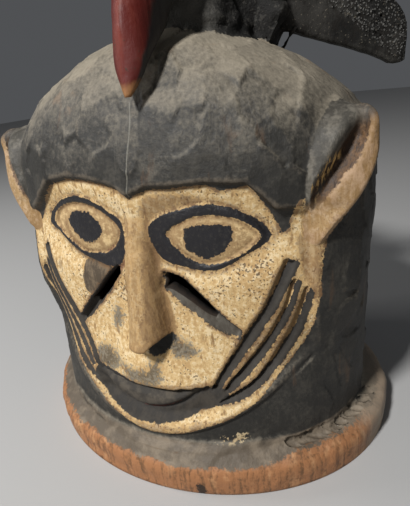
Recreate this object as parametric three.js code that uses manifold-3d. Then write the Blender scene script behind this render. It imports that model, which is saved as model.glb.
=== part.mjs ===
import * as THREE from 'three';
import Module from 'manifold-3d';
import { mergeVertices } from 'three/addons/utils/BufferGeometryUtils.js';

// A carved wooden helmet mask with a bird on its crown, in millimetres.
// +Z is up, the face looks towards -Y and the mask's left side is +X.
// The origin is at the middle of the rim's underside.

// Rim: an oval ring that the mask stands on
const rimHalfWidth = 164;
const rimHalfDepth = 134;
const rimFaceHeight = 25;
const neckFootHeight = 35;
const jawTopHeight = 96;

// Head: half sizes from the upright axis of the head
const crownHeight = 324;
const headHalfWidth = 140;
const headWidening = 8;
const backHalfDepth = 120;
const faceHalfDepth = 98;
const jawExtraDepth = 17;
const sideDomeStart = 238;
const frontDomeStart = 205;
const headForward = 6.5;

// Hollow: wall thickness at the sides, face, back and crown
const sideWall = 14;
const faceWall = 17;
const backWall = 12;
const crownWall = 22;

// Face relief
const panelDepth = 5;
const socketDepth = 4.5;
const eyeCentre = { x: 50, z: 193 };
const eyeHalf = { x: 38, z: 21 };
const eyeBulge = 2.5;
const nose = { top: 200, bottom: 115, rise: 22, topRise: 2, halfTop: 7, halfBottom: 10, flare: 8 };
const lipEdge = { z: 79, lift: 6, halfWidth: 50 };
const mouthDepth = 7;
const lowerLipRoll = 4;
const muzzle = { z: 92, halfWidth: 48, halfHeight: 20, rise: 3 };
const lipCrease = { x: -7, z: 57.5, lift: 13, halfWidth: 38 };
const chinRim = { z: 41.5, lift: 15.5, halfWidth: 60, height: 9, rise: 2 };
const neckDepth = 2.5;

// Cheek grooves and slits, as courses on the face in x and z
const grooveCourses = [
  [[105, 179], [99, 165], [91, 149], [81, 131], [70, 114], [55, 90]],
  [[106, 158], [98, 140], [87, 118], [75, 102], [60, 87]],
  [[111, 150], [107, 134], [100, 116], [87, 99], [66, 81]],
];
const grooveWidths = [8, 7, 6.5];
const grooveDepth = 4.5;
const slitCourse = [[18, 165], [34, 151], [55, 132], [71, 120]];
const slitWidth = 9;
const slitDepth = 7;
const slitOpening = { from: [20, 163], to: [56, 131], width: 8.5, inside: -60, outside: -125 };
const chisel = { above: 6, lip: 0.4, lean: 0.8, startShare: 0.3, taper: 5 };

// Ears: how far their roots are sunk into the head, and how the parts lie between root and edge
const earEmbedding = 1;
const earInside = { x: 0.62, y: 0.72 };
const earCentre = 0.7;
const earCrest = 0.42;
const earGroove = 0.66;
const earBand = 0.8;
const earBandLobe = 0.25;

// Bird: its upright middle plane and levels
const birdX = 12;
const wingThickness = 12;
const wingAcross = { x: 0.62, y: 0.78 };
const wingStart = 17;
const wingSweep = { left: 0.76, right: 0.98 };
const postHalf = 1.9;

// Numbers of facets
const frontColumns = 44;
const backColumns = 14;
const jawRows = 15;
const faceRows = 17;
const domeRows = 9;
const hollowColumns = 32;
const hollowRows = 12;

const wasm = await Module();
wasm.setup();

function smooth(value, from, to) {
  const t = Math.min(Math.max((value - from) / (to - from), 0), 1);
  return t * t * (3 - 2 * t);
}

function bell(distance, reach) {
  return Math.exp(-((distance / reach) ** 2));
}

// Half width and half depths of the head at a height
function headSizes(z, crown = crownHeight) {
  const sideRise = Math.min(Math.max((z - sideDomeStart) / (crown - sideDomeStart), 0), 1);
  const frontRise = Math.min(Math.max((z - frontDomeStart) / (crown - frontDomeStart), 0), 1);
  const sideShrink = (1 - sideRise ** 1.53) ** (1 / 1.53);
  const faceDepth = faceHalfDepth + jawExtraDepth * (1 - smooth(z, 20, 150));
  return {
    side: (headHalfWidth + headWidening * z / crownHeight) * sideShrink,
    front: faceDepth * (1 - frontRise ** 2.12) ** 0.4,
    back: backHalfDepth * sideShrink,
    squareness: 2 + 0.6 * smooth(z, 90, 150) - 0.35 * smooth(z, 150, 200) + 0.25 * smooth(z, 230, 290),
  };
}

// Point of the oval of the given half sizes in the direction of an angle from the face's middle
function ovalPoint(sizes, angle) {
  const x = Math.sin(angle);
  const y = -Math.cos(angle);
  const depth = y < 0 ? sizes.front : sizes.back;
  const power = y < 0 ? sizes.squareness : 2;
  const reach = ((Math.abs(x) / sizes.side) ** power + (Math.abs(y) / depth) ** power) ** (-1 / power);
  return new THREE.Vector2(x * reach, y * reach);
}

// Lower edge of the dark cap over the face
function capLine(x) {
  const side = Math.abs(x);
  return 220 + 10 * smooth(side, 0, 40) - 16 * smooth(side, 60, 98) + 4 * smooth(side, 98, 116);
}

function chinLine(x) {
  return chinRim.z + chinRim.lift * (Math.abs(x) / chinRim.halfWidth) ** 2;
}

function noseRelief(x, z) {
  const down = (nose.top - z) / (nose.top - nose.bottom);
  if (down < -0.1) {
    return 0;
  }
  const half = THREE.MathUtils.lerp(nose.halfTop, nose.halfBottom, Math.min(down, 1));
  const rise = THREE.MathUtils.lerp(nose.topRise, nose.rise, Math.min(Math.max(down, 0), 1));
  const underside = 1 - smooth(nose.bottom - z, 0, 5);
  return rise * underside * smooth(down, -0.1, 0.05) * (1 - smooth(Math.abs(x), half, half + nose.flare));
}

function eyeRelief(x, z) {
  const across = (Math.abs(x) - eyeCentre.x) / eyeHalf.x;
  const upward = (z - eyeCentre.z) / eyeHalf.z;
  const reach = Math.hypot(across, upward);
  const socket = -socketDepth * (1 - smooth(reach, 0.8, 1.75));
  const ball = eyeBulge * Math.max(1 - reach ** 2, 0);
  return socket + ball;
}

function mouthRelief(x, z) {
  const side = Math.abs(x);
  const edge = lipEdge.z + lipEdge.lift * (side / lipEdge.halfWidth) ** 2;
  const crease = lipCrease.z + lipCrease.lift * ((x - lipCrease.x) / lipCrease.halfWidth) ** 2;
  const rimTop = chinLine(x) + chinRim.height;
  const within = 1 - smooth(side, lipEdge.halfWidth - 4, lipEdge.halfWidth + 6);
  const underLip = (1 - smooth(z, edge - 3, edge)) * smooth(z, rimTop - 4, rimTop + 2);
  const roll = lowerLipRoll * smooth(edge - z, 2, 9) * smooth(z, crease - 1, crease + 4);
  return within * underLip * (roll - mouthDepth);
}

// Carving of the face, outwards from the plain head, at a place on the front
function faceRelief(x, z) {
  const side = Math.abs(x);
  const belowCap = 1 - smooth(z, capLine(x) - 9, capLine(x) + 2);
  const withinSides = 1 - smooth(side, 112, 118);
  const aboveChin = smooth(z, chinLine(x) - 3, chinLine(x) + 1);
  const panel = belowCap * withinSides * aboveChin;
  const recess = 1 + (panelDepth - 1) * smooth(z, 60, 130);
  const neck = -neckDepth * (1 - aboveChin) * smooth(z, neckFootHeight, neckFootHeight + 5);
  const rim = chinRim.rise * bell(z - chinLine(x) - chinRim.height / 2, chinRim.height / 2);
  const swelling = muzzle.rise * bell(x, muzzle.halfWidth) * bell(z - muzzle.z, muzzle.halfHeight);
  const carved = eyeRelief(x, z) + noseRelief(x, z) + mouthRelief(x, z) + swelling + rim - recess;
  return panel * carved + neck * (1 - smooth(side, 85, 110));
}

// Point of the outer surface for an angle and a height
function headPoint(angle, z) {
  const sizes = headSizes(z);
  const point = ovalPoint(sizes, angle);
  const step = 0.01;
  const ahead = ovalPoint(sizes, angle + step);
  const behind = ovalPoint(sizes, angle - step);
  const along = ahead.sub(behind).normalize();
  const outward = new THREE.Vector2(along.y, -along.x);
  const facing = 1 - smooth(Math.abs(angle), 1.35, 1.5);
  const relief = facing > 0 ? facing * faceRelief(point.x, z) : 0;
  return new THREE.Vector3(point.x + outward.x * relief, point.y + outward.y * relief, z);
}

// Angle at which the face's surface has the given x at a height
function angleAt(x, z) {
  let low = 0;
  let high = Math.PI / 2;
  const target = Math.abs(x);
  for (let i = 0; i < 40; i++) {
    const middle = (low + high) / 2;
    if (ovalPoint(headSizes(z), middle).x < target) {
      low = middle;
    } else {
      high = middle;
    }
  }
  return Math.sign(x) * low;
}

function columnAngles() {
  const frontSpan = THREE.MathUtils.degToRad(160);
  const backSpan = 2 * Math.PI - frontSpan;
  const angles = [];
  for (let i = 0; i < frontColumns; i++) {
    angles.push(-frontSpan / 2 + frontSpan * i / frontColumns);
  }
  for (let i = 0; i < backColumns; i++) {
    angles.push(frontSpan / 2 + backSpan * i / backColumns);
  }
  return angles;
}

// Closed surface from rings of points, with a fan to a last point at each end
function closedSurface(rings, firstPoint, lastPoint) {
  const points = [firstPoint];
  for (const ring of rings) {
    points.push(...ring);
  }
  points.push(lastPoint);
  const count = rings[0].length;
  const last = points.length - 1;
  const faces = [];
  for (let i = 0; i < count; i++) {
    const next = (i + 1) % count;
    faces.push(0, 1 + next, 1 + i);
    for (let r = 0; r + 1 < rings.length; r++) {
      const low = 1 + r * count;
      const high = low + count;
      faces.push(low + i, low + next, high + next);
      faces.push(low + i, high + next, high + i);
    }
    const top = last - count;
    faces.push(top + i, top + next, last);
  }
  const geometry = new THREE.BufferGeometry().setFromPoints(points);
  geometry.setIndex(faces);
  return geometry;
}

function middleOf(ring) {
  const middle = new THREE.Vector3();
  for (const point of ring) {
    middle.add(point);
  }
  return middle.divideScalar(ring.length);
}

// Solid through a row of rings, with flat ends
function loft(rings) {
  return toSolid(closedSurface(rings, middleOf(rings[0]), middleOf(rings[rings.length - 1])));
}

function signedVolume(geometry) {
  const position = geometry.getAttribute('position');
  const index = geometry.getIndex();
  const corner = [new THREE.Vector3(), new THREE.Vector3(), new THREE.Vector3()];
  let sum = 0;
  for (let i = 0; i < index.count; i += 3) {
    for (let k = 0; k < 3; k++) {
      corner[k].fromBufferAttribute(position, index.getX(i + k));
    }
    sum += corner[0].dot(corner[1].cross(corner[2])) / 6;
  }
  return sum;
}

function toSolid(geometry) {
  const plain = geometry.clone();
  plain.deleteAttribute('normal');
  plain.deleteAttribute('uv');
  const merged = mergeVertices(plain, 1e-4);
  const triVerts = new Uint32Array(merged.getIndex().array);
  if (signedVolume(merged) < 0) {
    for (let i = 0; i < triVerts.length; i += 3) {
      const swapped = triVerts[i + 1];
      triVerts[i + 1] = triVerts[i + 2];
      triVerts[i + 2] = swapped;
    }
  }
  const vertProperties = new Float32Array(merged.getAttribute('position').array);
  return new wasm.Manifold(new wasm.Mesh({ numProp: 3, vertProperties, triVerts }));
}

function toGeometry(solid) {
  const mesh = solid.getMesh();
  const geometry = new THREE.BufferGeometry();
  geometry.setAttribute('position', new THREE.BufferAttribute(mesh.vertProperties, 3));
  geometry.setIndex(new THREE.BufferAttribute(mesh.triVerts, 1));
  return geometry;
}

// Helmet: rim, neck, face and crown outside
function rimPoint(angle, scale, z) {
  const sizes = { side: rimHalfWidth, front: rimHalfDepth, back: rimHalfDepth, squareness: 2 };
  const point = ovalPoint(sizes, angle).multiplyScalar(scale);
  return new THREE.Vector3(point.x, point.y + headForward, z);
}

function helmetOutside() {
  const angles = columnAngles();
  const rings = [];
  const rimSteps = [[0.985, 0], [1, 13], [0.99, rimFaceHeight]];
  for (const [scale, z] of rimSteps) {
    rings.push(angles.map((angle) => rimPoint(angle, scale, z)));
  }
  const topSteps = [[0.4, 30], [0.85, 33]];
  for (const [inward, z] of topSteps) {
    rings.push(angles.map((angle) => {
      const foot = headPoint(angle, neckFootHeight);
      return rimPoint(angle, 0.98, z).lerp(new THREE.Vector3(foot.x, foot.y, z), inward);
    }));
  }
  for (let i = 0; i < jawRows; i++) {
    const z = THREE.MathUtils.lerp(neckFootHeight, jawTopHeight, i / jawRows);
    rings.push(angles.map((angle) => headPoint(angle, z)));
  }
  for (let i = 0; i <= faceRows; i++) {
    const z = THREE.MathUtils.lerp(jawTopHeight, sideDomeStart, i / faceRows);
    rings.push(angles.map((angle) => headPoint(angle, z)));
  }
  for (let i = 1; i < domeRows; i++) {
    const lean = Math.PI / 2 * i / domeRows;
    const z = sideDomeStart + (crownHeight - sideDomeStart) * Math.sin(lean) ** 1.15;
    rings.push(angles.map((angle) => headPoint(angle, z)));
  }
  const underside = new THREE.Vector3(0, headForward, 0);
  return toSolid(closedSurface(rings, underside, new THREE.Vector3(0, 0, crownHeight)));
}

// Hollow for the wearer's head, open below
function helmetHollow() {
  const top = crownHeight - crownWall;
  const rings = [];
  for (let i = 0; i <= hollowRows; i++) {
    const lean = Math.PI / 2 * i / (hollowRows + 1);
    const z = i === 0 ? -10 : top * Math.sin(lean) ** 1.1;
    const outer = headSizes(Math.max(z, 0), top);
    const sizes = {
      side: outer.side - sideWall * (outer.side / headHalfWidth),
      front: outer.front - faceWall * (outer.front / faceHalfDepth),
      back: outer.back - backWall * (outer.back / backHalfDepth),
      squareness: outer.squareness,
    };
    const ring = [];
    for (let k = 0; k < hollowColumns; k++) {
      const point = ovalPoint(sizes, -Math.PI + 2 * Math.PI * k / hollowColumns);
      ring.push(new THREE.Vector3(point.x, point.y, z));
    }
    rings.push(ring);
  }
  return toSolid(closedSurface(rings, new THREE.Vector3(0, 0, -10), new THREE.Vector3(0, 0, top)));
}

// Chisel cut along a course on the face: steep on the nose side, sloping on the other
function chiselCut(course, side, width, depth, steps) {
  const path = new THREE.CatmullRomCurve3(course.map(([x, z]) => new THREE.Vector3(x * side, 0, z)));
  const rings = [];
  for (let i = 0; i <= steps; i++) {
    const t = i / steps;
    const place = path.getPoint(t);
    const tangent = path.getTangent(t);
    const angle = angleAt(place.x, place.z);
    const surface = headPoint(angle, place.z);
    const outward = new THREE.Vector3(Math.sin(angle) * 0.8, -Math.cos(angle), 0).normalize();
    const along = new THREE.Vector3(tangent.x, 0, tangent.z);
    along.addScaledVector(outward, -along.dot(outward)).normalize();
    const across = new THREE.Vector3().crossVectors(along, outward).multiplyScalar(side);
    const ends = Math.min(1, chisel.startShare + chisel.taper * Math.min(t, 1 - t));
    const half = width / 2 * ends;
    const deep = depth * ends;
    const corner = (sideways, out) => surface.clone()
      .addScaledVector(across, sideways)
      .addScaledVector(outward, out);
    rings.push([
      corner(-half, chisel.above),
      corner(half, chisel.above),
      corner(half, -chisel.lip),
      corner(-half + chisel.lean, -deep),
    ]);
  }
  return loft(rings);
}

// Opening through the wall below an eye
function slitThrough(side) {
  const { from, to, width, inside, outside } = slitOpening;
  const along = new THREE.Vector3((to[0] - from[0]) * side, 0, to[1] - from[1]).normalize();
  const across = new THREE.Vector3(-along.z, 0, along.x);
  const outline = [[0, -0.28], [0.12, 0.5], [0.88, 0.5], [1, 0.2], [0.94, -0.5], [0.1, -0.5]];
  const length = Math.hypot(to[0] - from[0], to[1] - from[1]);
  const start = new THREE.Vector3(from[0] * side, 0, from[1]);
  const rings = [inside, outside].map((y) => outline.map(([t, s]) => start.clone()
    .setY(y)
    .addScaledVector(along, t * length)
    .addScaledVector(across, s * width)));
  return loft(rings);
}

// Ear: a leaf-shaped fin from the temple, with a long hollow and an outer band
function ear(side) {
  const levels = [
    { z: 184, rootX: 113, rim: [117, -67], back: -52, lobe: 0, hollow: 0 },
    { z: 196, rootX: 112.5, rim: [122, -65], back: -38, lobe: 1, hollow: 1.5 },
    { z: 208, rootX: 112, rim: [130, -61], back: -26, lobe: 2.5, hollow: 4 },
    { z: 221, rootX: 111, rim: [139.5, -56], back: -16, lobe: 4, hollow: 6 },
    { z: 234, rootX: 112, rim: [145.5, -50], back: -9, lobe: 5.5, hollow: 7 },
    { z: 246, rootX: 114, rim: [148, -47], back: -9, lobe: 6, hollow: 7 },
    { z: 255, rootX: 119, rim: [147.5, -47], back: -14, lobe: 5, hollow: 5 },
    { z: 261, rootX: 125, rim: [145, -49], back: -20, lobe: 3, hollow: 2.5 },
    { z: 264.5, rootX: 122, rim: [140, -47], back: -31, lobe: 0.5, hollow: 0 },
  ];
  const rings = levels.map(({ z, rootX, rim, back, lobe, hollow }) => {
    const sizes = headSizes(z);
    const inner = new THREE.Vector3(sizes.side * earInside.x, -sizes.front * earInside.y, z);
    const edge = new THREE.Vector3(rim[0], rim[1], z);
    const behind = new THREE.Vector3(sizes.side * (1 - (back / sizes.front) ** 2) ** 0.5 - 4, back, z);
    const root = headPoint(angleAt(Math.min(rootX, sizes.side * 0.97), z), z);
    root.addScaledVector(new THREE.Vector3(root.x, root.y, 0).normalize(), -earEmbedding);
    const forward = new THREE.Vector3(0.45, -0.9, 0);
    const crest = root.clone().lerp(edge, earCrest).addScaledVector(forward, lobe);
    const groove = root.clone().lerp(edge, earGroove).addScaledVector(forward, lobe - hollow);
    const band = root.clone().lerp(edge, earBand).addScaledVector(forward, lobe * earBandLobe);
    const centre = new THREE.Vector3(sizes.side * earCentre, back * earCentre, z);
    const ring = [inner, root, crest, groove, band, edge, behind, centre];
    return ring.map((point) => new THREE.Vector3(point.x * side, point.y, point.z));
  });
  return loft(rings);
}

// Level ring with its own half width, front and back, squarer for a higher power
function levelRing({ z, half, front, back, power }, sides) {
  const ring = [];
  for (let i = 0; i < sides; i++) {
    const angle = 2 * Math.PI * i / sides;
    const x = Math.sin(angle);
    const y = -Math.cos(angle);
    const reach = (Math.abs(x) ** power + Math.abs(y) ** power) ** (-1 / power);
    const middle = (front + back) / 2;
    ring.push(new THREE.Vector3(birdX + half * x * reach, middle + (back - front) / 2 * y * reach, z));
  }
  return ring;
}

function birdBody() {
  const levels = [
    { z: 286, half: 57, front: -32, back: 78, power: 3.4 },
    { z: 307, half: 49, front: -30, back: 76, power: 3.4 },
    { z: 331, half: 38, front: -30, back: 74, power: 3 },
    { z: 350, half: 33, front: -29, back: 68, power: 2.6 },
    { z: 363, half: 26, front: -27, back: 56, power: 2.3 },
    { z: 371, half: 15, front: -22, back: 36, power: 2 },
  ];
  return loft(levels.map((level) => levelRing(level, 24)));
}

function birdHead() {
  const levels = [
    { z: 281, half: 2, front: -94, back: -90, power: 2 },
    { z: 286, half: 5, front: -93, back: -85, power: 2.2 },
    { z: 293, half: 8.5, front: -91.5, back: -80, power: 2.4 },
    { z: 301, half: 11, front: -90, back: -74, power: 2.6 },
    { z: 310, half: 12.5, front: -88.5, back: -62, power: 2.7 },
    { z: 320, half: 13.5, front: -86.5, back: -48, power: 2.7 },
    { z: 335, half: 15.5, front: -82, back: -35, power: 2.6 },
    { z: 350, half: 19, front: -76, back: -22, power: 2.4 },
    { z: 366, half: 22.5, front: -66, back: -12, power: 2.2 },
    { z: 379, half: 21, front: -55, back: -8, power: 2.1 },
    { z: 388, half: 14, front: -44, back: -14, power: 2 },
    { z: 392, half: 6, front: -34, back: -22, power: 2 },
  ];
  return loft(levels.map((level) => levelRing(level, 20)));
}

// Wing: a thick board that leaves the body's side, sweeps back and droops
function wing(side) {
  const stations = [
    { out: 18, low: 322, high: 352 },
    { out: 38, low: 318, high: 360 },
    { out: 62, low: 314, high: 362 },
    { out: 84, low: 305, high: 356 },
    { out: 106, low: 297, high: 346 },
    { out: 126, low: 288, high: 333 },
    { out: 138, low: 282, high: 324 },
    { out: 146, low: 284, high: 310 },
  ];
  const rings = stations.map(({ out, low, high }, i) => {
    const ends = i === stations.length - 1 ? 0.6 : 1;
    const half = wingThickness / 2 * ends;
    const behind = out * (side > 0 ? wingSweep.left : wingSweep.right) - wingStart;
    const corner = (offset, z) => new THREE.Vector3(
      birdX + side * (out - offset * wingAcross.x),
      behind + offset * wingAcross.y,
      z,
    );
    return [
      corner(-half, low + 3),
      corner(half, low),
      corner(half, high - 4),
      corner(half * 0.3, high),
      corner(-half, high - 5),
    ];
  });
  return loft(rings);
}

function tail() {
  const stations = [
    { y: 50, half: 26, low: 330, high: 352 },
    { y: 78, half: 25, low: 322, high: 342 },
    { y: 104, half: 30, low: 308, high: 322 },
    { y: 126, half: 36, low: 292, high: 302 },
  ];
  return loft(stations.map(({ y, half, low, high }) => [
    new THREE.Vector3(birdX - half, y, low),
    new THREE.Vector3(birdX + half, y, low),
    new THREE.Vector3(birdX + half, y, high - 4),
    new THREE.Vector3(birdX, y, high),
    new THREE.Vector3(birdX - half, y, high - 4),
  ]));
}

// Bracket that carries a wing's root on the crown
function wingRoot(side) {
  const outline = [[40, 284], [61, 284], [61, 302], [70, 311], [74, 330], [40, 340]];
  const rings = [14, 48].map((y) => outline.map(([out, z]) => new THREE.Vector3(birdX + side * out, y, z)));
  return loft(rings);
}

// Thin post left standing between a wing and the crown
function wingPost() {
  const foot = new THREE.Vector3(71.5, 30, 292);
  const head = new THREE.Vector3(88, 34, 314);
  const rings = [foot, head].map((end) => [[-1, -1], [1, -1], [1, 1], [-1, 1]].map(([x, y]) => (
    new THREE.Vector3(end.x + x * postHalf, end.y + y * postHalf, end.z))));
  return loft(rings);
}

function helmetMask() {
  let solid = helmetOutside();
  for (const side of [-1, 1]) {
    solid = solid.add(ear(side));
    solid = solid.add(wing(side)).add(wingRoot(side));
  }
  solid = solid.add(birdBody()).add(birdHead()).add(tail()).add(wingPost());
  solid = solid.subtract(helmetHollow());
  for (const side of [-1, 1]) {
    grooveCourses.forEach((course, i) => {
      solid = solid.subtract(chiselCut(course, side, grooveWidths[i], grooveDepth, 9));
    });
    solid = solid.subtract(chiselCut(slitCourse, side, slitWidth, slitDepth, 7));
    solid = solid.subtract(slitThrough(side));
  }
  return solid;
}

const mask = new THREE.Group();
const paintedWood = new THREE.MeshStandardMaterial({ color: 0x4a4640, roughness: 0.8, metalness: 0 });
const maskMesh = new THREE.Mesh(toGeometry(helmetMask()), paintedWood);
maskMesh.name = 'helmet_mask';
maskMesh.position.y = -headForward;
mask.add(maskMesh);

export default mask;
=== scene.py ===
import math
import bmesh
import bpy
import numpy as np
from mathutils import Matrix, Vector


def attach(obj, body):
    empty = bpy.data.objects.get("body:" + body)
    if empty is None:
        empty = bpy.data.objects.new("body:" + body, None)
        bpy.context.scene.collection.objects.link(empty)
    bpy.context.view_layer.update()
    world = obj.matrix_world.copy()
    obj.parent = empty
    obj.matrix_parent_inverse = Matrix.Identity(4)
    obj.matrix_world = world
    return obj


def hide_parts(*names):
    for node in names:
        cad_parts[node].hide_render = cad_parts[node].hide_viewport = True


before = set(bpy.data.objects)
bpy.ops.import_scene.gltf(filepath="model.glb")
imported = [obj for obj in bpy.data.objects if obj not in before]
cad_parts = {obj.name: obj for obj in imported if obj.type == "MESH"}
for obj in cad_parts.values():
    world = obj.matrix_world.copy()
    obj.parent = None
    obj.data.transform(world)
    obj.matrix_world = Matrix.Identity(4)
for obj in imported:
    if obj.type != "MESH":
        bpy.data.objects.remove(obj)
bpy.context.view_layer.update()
print("frame loaded")

# A carved and painted helmet mask with a bird on its crown.
# Shapes are worked out in millimetres about the head's upright axis,
# then moved into the frame in metres.
# The face looks towards -y, the mask's left side is +x.

perMetre = 1000     # millimetres
tiny = 1e-6

# plain numbers and noise

cellFactors = np.array([374761393, 668265263, 1274126177])
seedFactor = 974711
lowBits = 0xFFFFFFFF
latticeStart = 512.0     # keeps every place on the noise's positive side


def smoothStep(value, start, end):
    t = np.clip((value - start) / (end - start), 0, 1)
    return t * t * (3 - 2 * t)


def bell(distance, reach):
    return np.exp(-(distance / reach) ** 2)


def scatterNumber(cell, seed):
    # a repeatable number from 0 to 1 for each whole-number place
    h = (cell * cellFactors).sum(axis=1) + seed * seedFactor
    h = (h ^ (h >> 13)) & lowBits
    h = (h * int(cellFactors[2])) & lowBits
    h = (h ^ (h >> 16)) & lowBits
    return h / (lowBits + 1)


def cellsOf(points, size):
    # places in units of size, and the whole-number cell each is in
    p = points / size + latticeStart
    return p, np.floor(p).astype(np.int64)


def softNoise(points, size, seed):
    # smooth noise from -1 to 1 with bumps of about the given size
    p, cell = cellsOf(points, size)
    t = smoothStep(p - cell, 0, 1)
    total = np.zeros(len(points))
    for corner in np.ndindex(2, 2, 2):
        weight = np.where(corner, t, 1 - t).prod(axis=1)
        total += weight * scatterNumber(cell + corner, seed)
    return total * 2 - 1


def roughNoise(points, size, seed, layers=3):
    return sum(softNoise(points, size * 0.5 ** k, seed + k) * 0.5 ** k for k in range(layers))


def toolMarks(points, size, seed):
    # the nearest mark's distance in units of size, how its flat slants, and its number
    p, cell = cellsOf(points, size)
    nearest = np.full(len(points), 9.0)
    slant = np.zeros(len(points))
    number = np.zeros(len(points))
    for place in np.ndindex(3, 3, 3):
        here = cell + place - 1
        centre = np.column_stack([scatterNumber(here, seed + k) for k in range(3)])
        offset = p - here - centre
        turn = scatterNumber(here, seed + 3)
        angle = 2 * math.pi * turn
        away = np.sqrt((offset ** 2).sum(axis=1))
        closer = away < nearest
        lean = offset[:, 0] * np.cos(angle) + (offset[:, 1] + offset[:, 2]) * np.sin(angle)
        slant = np.where(closer, lean, slant)
        number = np.where(closer, turn, number)
        nearest = np.where(closer, away, nearest)
    return nearest, slant, number


# lines on the face, as x and z

def segmentDistance(x, z, start, end):
    (ax, az), (bx, bz) = start, end
    length = max(math.hypot(bx - ax, bz - az), tiny)
    t = np.clip(((x - ax) * (bx - ax) + (z - az) * (bz - az)) / length ** 2, 0, 1)
    return np.hypot(x - ax - t * (bx - ax), z - az - t * (bz - az))


def pathDistance(x, z, path):
    # distance to an open line
    return np.min([segmentDistance(x, z, a, b) for a, b in zip(path[:-1], path[1:])], axis=0)


def insideShape(x, z, outline):
    # signed distance to a closed outline, positive inside
    outline = np.array(outline, float)
    inside = np.zeros(x.shape, bool)
    best = np.full(x.shape, np.inf)
    for start, end in zip(outline, np.roll(outline, -1, axis=0)):
        best = np.minimum(best, segmentDistance(x, z, start, end))
        (ax, az), (bx, bz) = start, end
        crosses = (az > z) != (bz > z)
        edge = ax + (z - az) * (bx - ax) / (bz - az if bz != az else tiny)
        inside ^= crosses & (x < edge)
    return np.where(inside, best, -best)


def roundedPath(points, steps=5):
    # a smooth line through the given points
    p = np.array(points, float)
    p = np.vstack([2 * p[0] - p[1], p, 2 * p[-1] - p[-2]])
    out = []
    for a, b, c, d in zip(p, p[1:], p[2:], p[3:]):
        for t in np.arange(steps) / steps:
            out.append(0.5 * (2 * b + (c - a) * t + (2 * a - 5 * b + 4 * c - d) * t ** 2
                              + (3 * b - a - 3 * c + d) * t ** 3))
    out.append(p[-2])
    return np.array(out)


def closedPath(outline, steps=3):
    return roundedPath(outline + outline[:1], steps)


# helmet shape

sides = {"left": 1, "right": -1}    # of the mask, as signs of x

helmet = {
    "rimHalfWidth": 163.0,
    "rimHalfDepth": 133.6,
    "neckFoot": 35.0,
    "crown": 324.0,
    "halfWidth": 140.0,
    "widening": 8.0,
    "backHalfDepth": 120.0,
    "faceHalfDepth": 98.0,
    "jawExtra": 17.0,
    "sideDomeStart": 238.0,
    "frontDomeStart": 205.0,
    "domePowers": (1.53, 2.12, 0.4),      # side, front, front's rounding
    "headForward": 6.5,
    "sideWall": 14.0,
    "faceWall": 17.0,
    "backWall": 12.0,
    "crownWall": 22.0,
    "faceSpacing": 1.55,     # mm between points on the face
    "domeSpacing": 2.7,
    "backSpacing": 6.0,
}

faceForms = {
    "capAbovePaint": 3.5,    # the cap's step is a little above its painted edge
    "panelDepth": 5.0,
    "socketDepth": 4.5,
    "eyeCentre": (50.0, 193.0),
    "eyeHalf": (38.0, 21.0),
    "eyeBulge": 3.0,
    "noseTop": 200.0,
    "noseBottom": 116.0,
    "noseRise": 22.0,
    "noseTopRise": 3.0,
    "noseMiddle": 4.0,
    "noseHalfTop": 10.0,
    "noseHalfBottom": 16.5,
    "lipEdge": (79.0, 6.0, 50.0, 0.0),     # z, lift at the half width, half width, middle
    "lipCrease": (57.5, 13.0, 38.0, -7.0),
    "mouthDepth": 7.5,
    "lowerLip": 4.5,
    "chin": (41.5, 15.5, 60.0, 0.0),
    "chinBand": 9.0,
    "chinRise": 2.2,
    "mouthEnds": (-58.0, 57.0),
    "grooveDepth": 4.8,
    "slitDepth": 7.0,
    "lidHeight": 1.5,
}

# lower edge of the raised cap over the brow, from the mask's right to its left
browEdge = [(-122, 200), (-111, 200), (-100, 205), (-87, 214.5), (-69, 228.2), (-49, 232),
            (-33, 231), (-19, 229), (-7, 225.8), (0, 220), (6, 222), (16, 225.9), (31, 226),
            (54, 227.5), (66, 226), (79, 225), (88, 216), (95, 208), (104, 207), (117, 207)]
# inner and outer edges of the three cheek grooves on the mask's left side
grooveEdges = [
    ([(100, 175.8), (91.5, 157), (85, 143), (75.5, 129), (65.5, 111.5), (57.2, 98.5), (48.8, 84),
      (46.5, 76)],
     [(106.9, 172.4), (100.5, 158.6), (94.6, 146), (87.5, 134), (79, 120), (71.8, 109),
      (64.4, 97.5), (54.4, 82)]),
    ([(104.6, 162.3), (99.5, 145.6), (93, 132), (85.3, 118.4), (77, 107), (68, 95.5), (61.1, 88),
      (56.5, 81)],
     [(107.9, 159.7), (103, 142.4), (97.4, 130), (90.7, 117), (83.2, 104.6), (74.5, 93), (66.4, 84),
      (60, 78)]),
    ([(112.6, 156.1), (108.2, 143), (104.6, 133), (99.5, 121.9), (92.6, 109.2), (85, 96.5),
      (76.3, 86.5), (67, 80.5), (59, 75.5), (53, 71)],
     [(115, 151.4), (112.5, 140), (109, 127.6), (105, 117), (100.3, 108.4), (94.3, 98.7),
      (87.1, 89.3), (80, 81.1), (73, 75.5), (65, 71.5), (55, 69.5)]),
]
# upper and lower edge of the trough round each slit, and of the slit itself,
# as distances from the middle
slits = {
    "left": {
        "trough": (
            [(16.5, 168.5), (24, 167.5), (33, 164.5), (45, 153.5), (55, 141.5), (63, 133),
             (70.5, 126)],
            [(17, 157), (23.3, 150.5), (33.5, 141.5), (45.7, 132), (56.4, 124.5), (67.9, 118.5)],
        ),
        "opening": (
            [(17, 166.8), (24, 166), (33, 163), (45, 151.5), (54.5, 139.5)],
            [(17.5, 156), (23, 154), (34, 146), (45, 137), (51, 133.5)],
        ),
    },
    "right": {
        "trough": (
            [(17, 171), (22, 169.5), (30.2, 162), (40.6, 151), (49.6, 141.5), (63.3, 127),
             (73, 116)],
            [(17, 164), (23.1, 157), (31.1, 147), (45, 133), (56.7, 121.5), (71.8, 111.8)],
        ),
        "opening": (
            [(18, 170), (22, 168), (31, 160), (41, 149), (50, 139.5)],
            [(18.5, 163), (23, 157.5), (30, 149.5), (38, 141.5), (46, 134)],
        ),
    },
}
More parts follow.
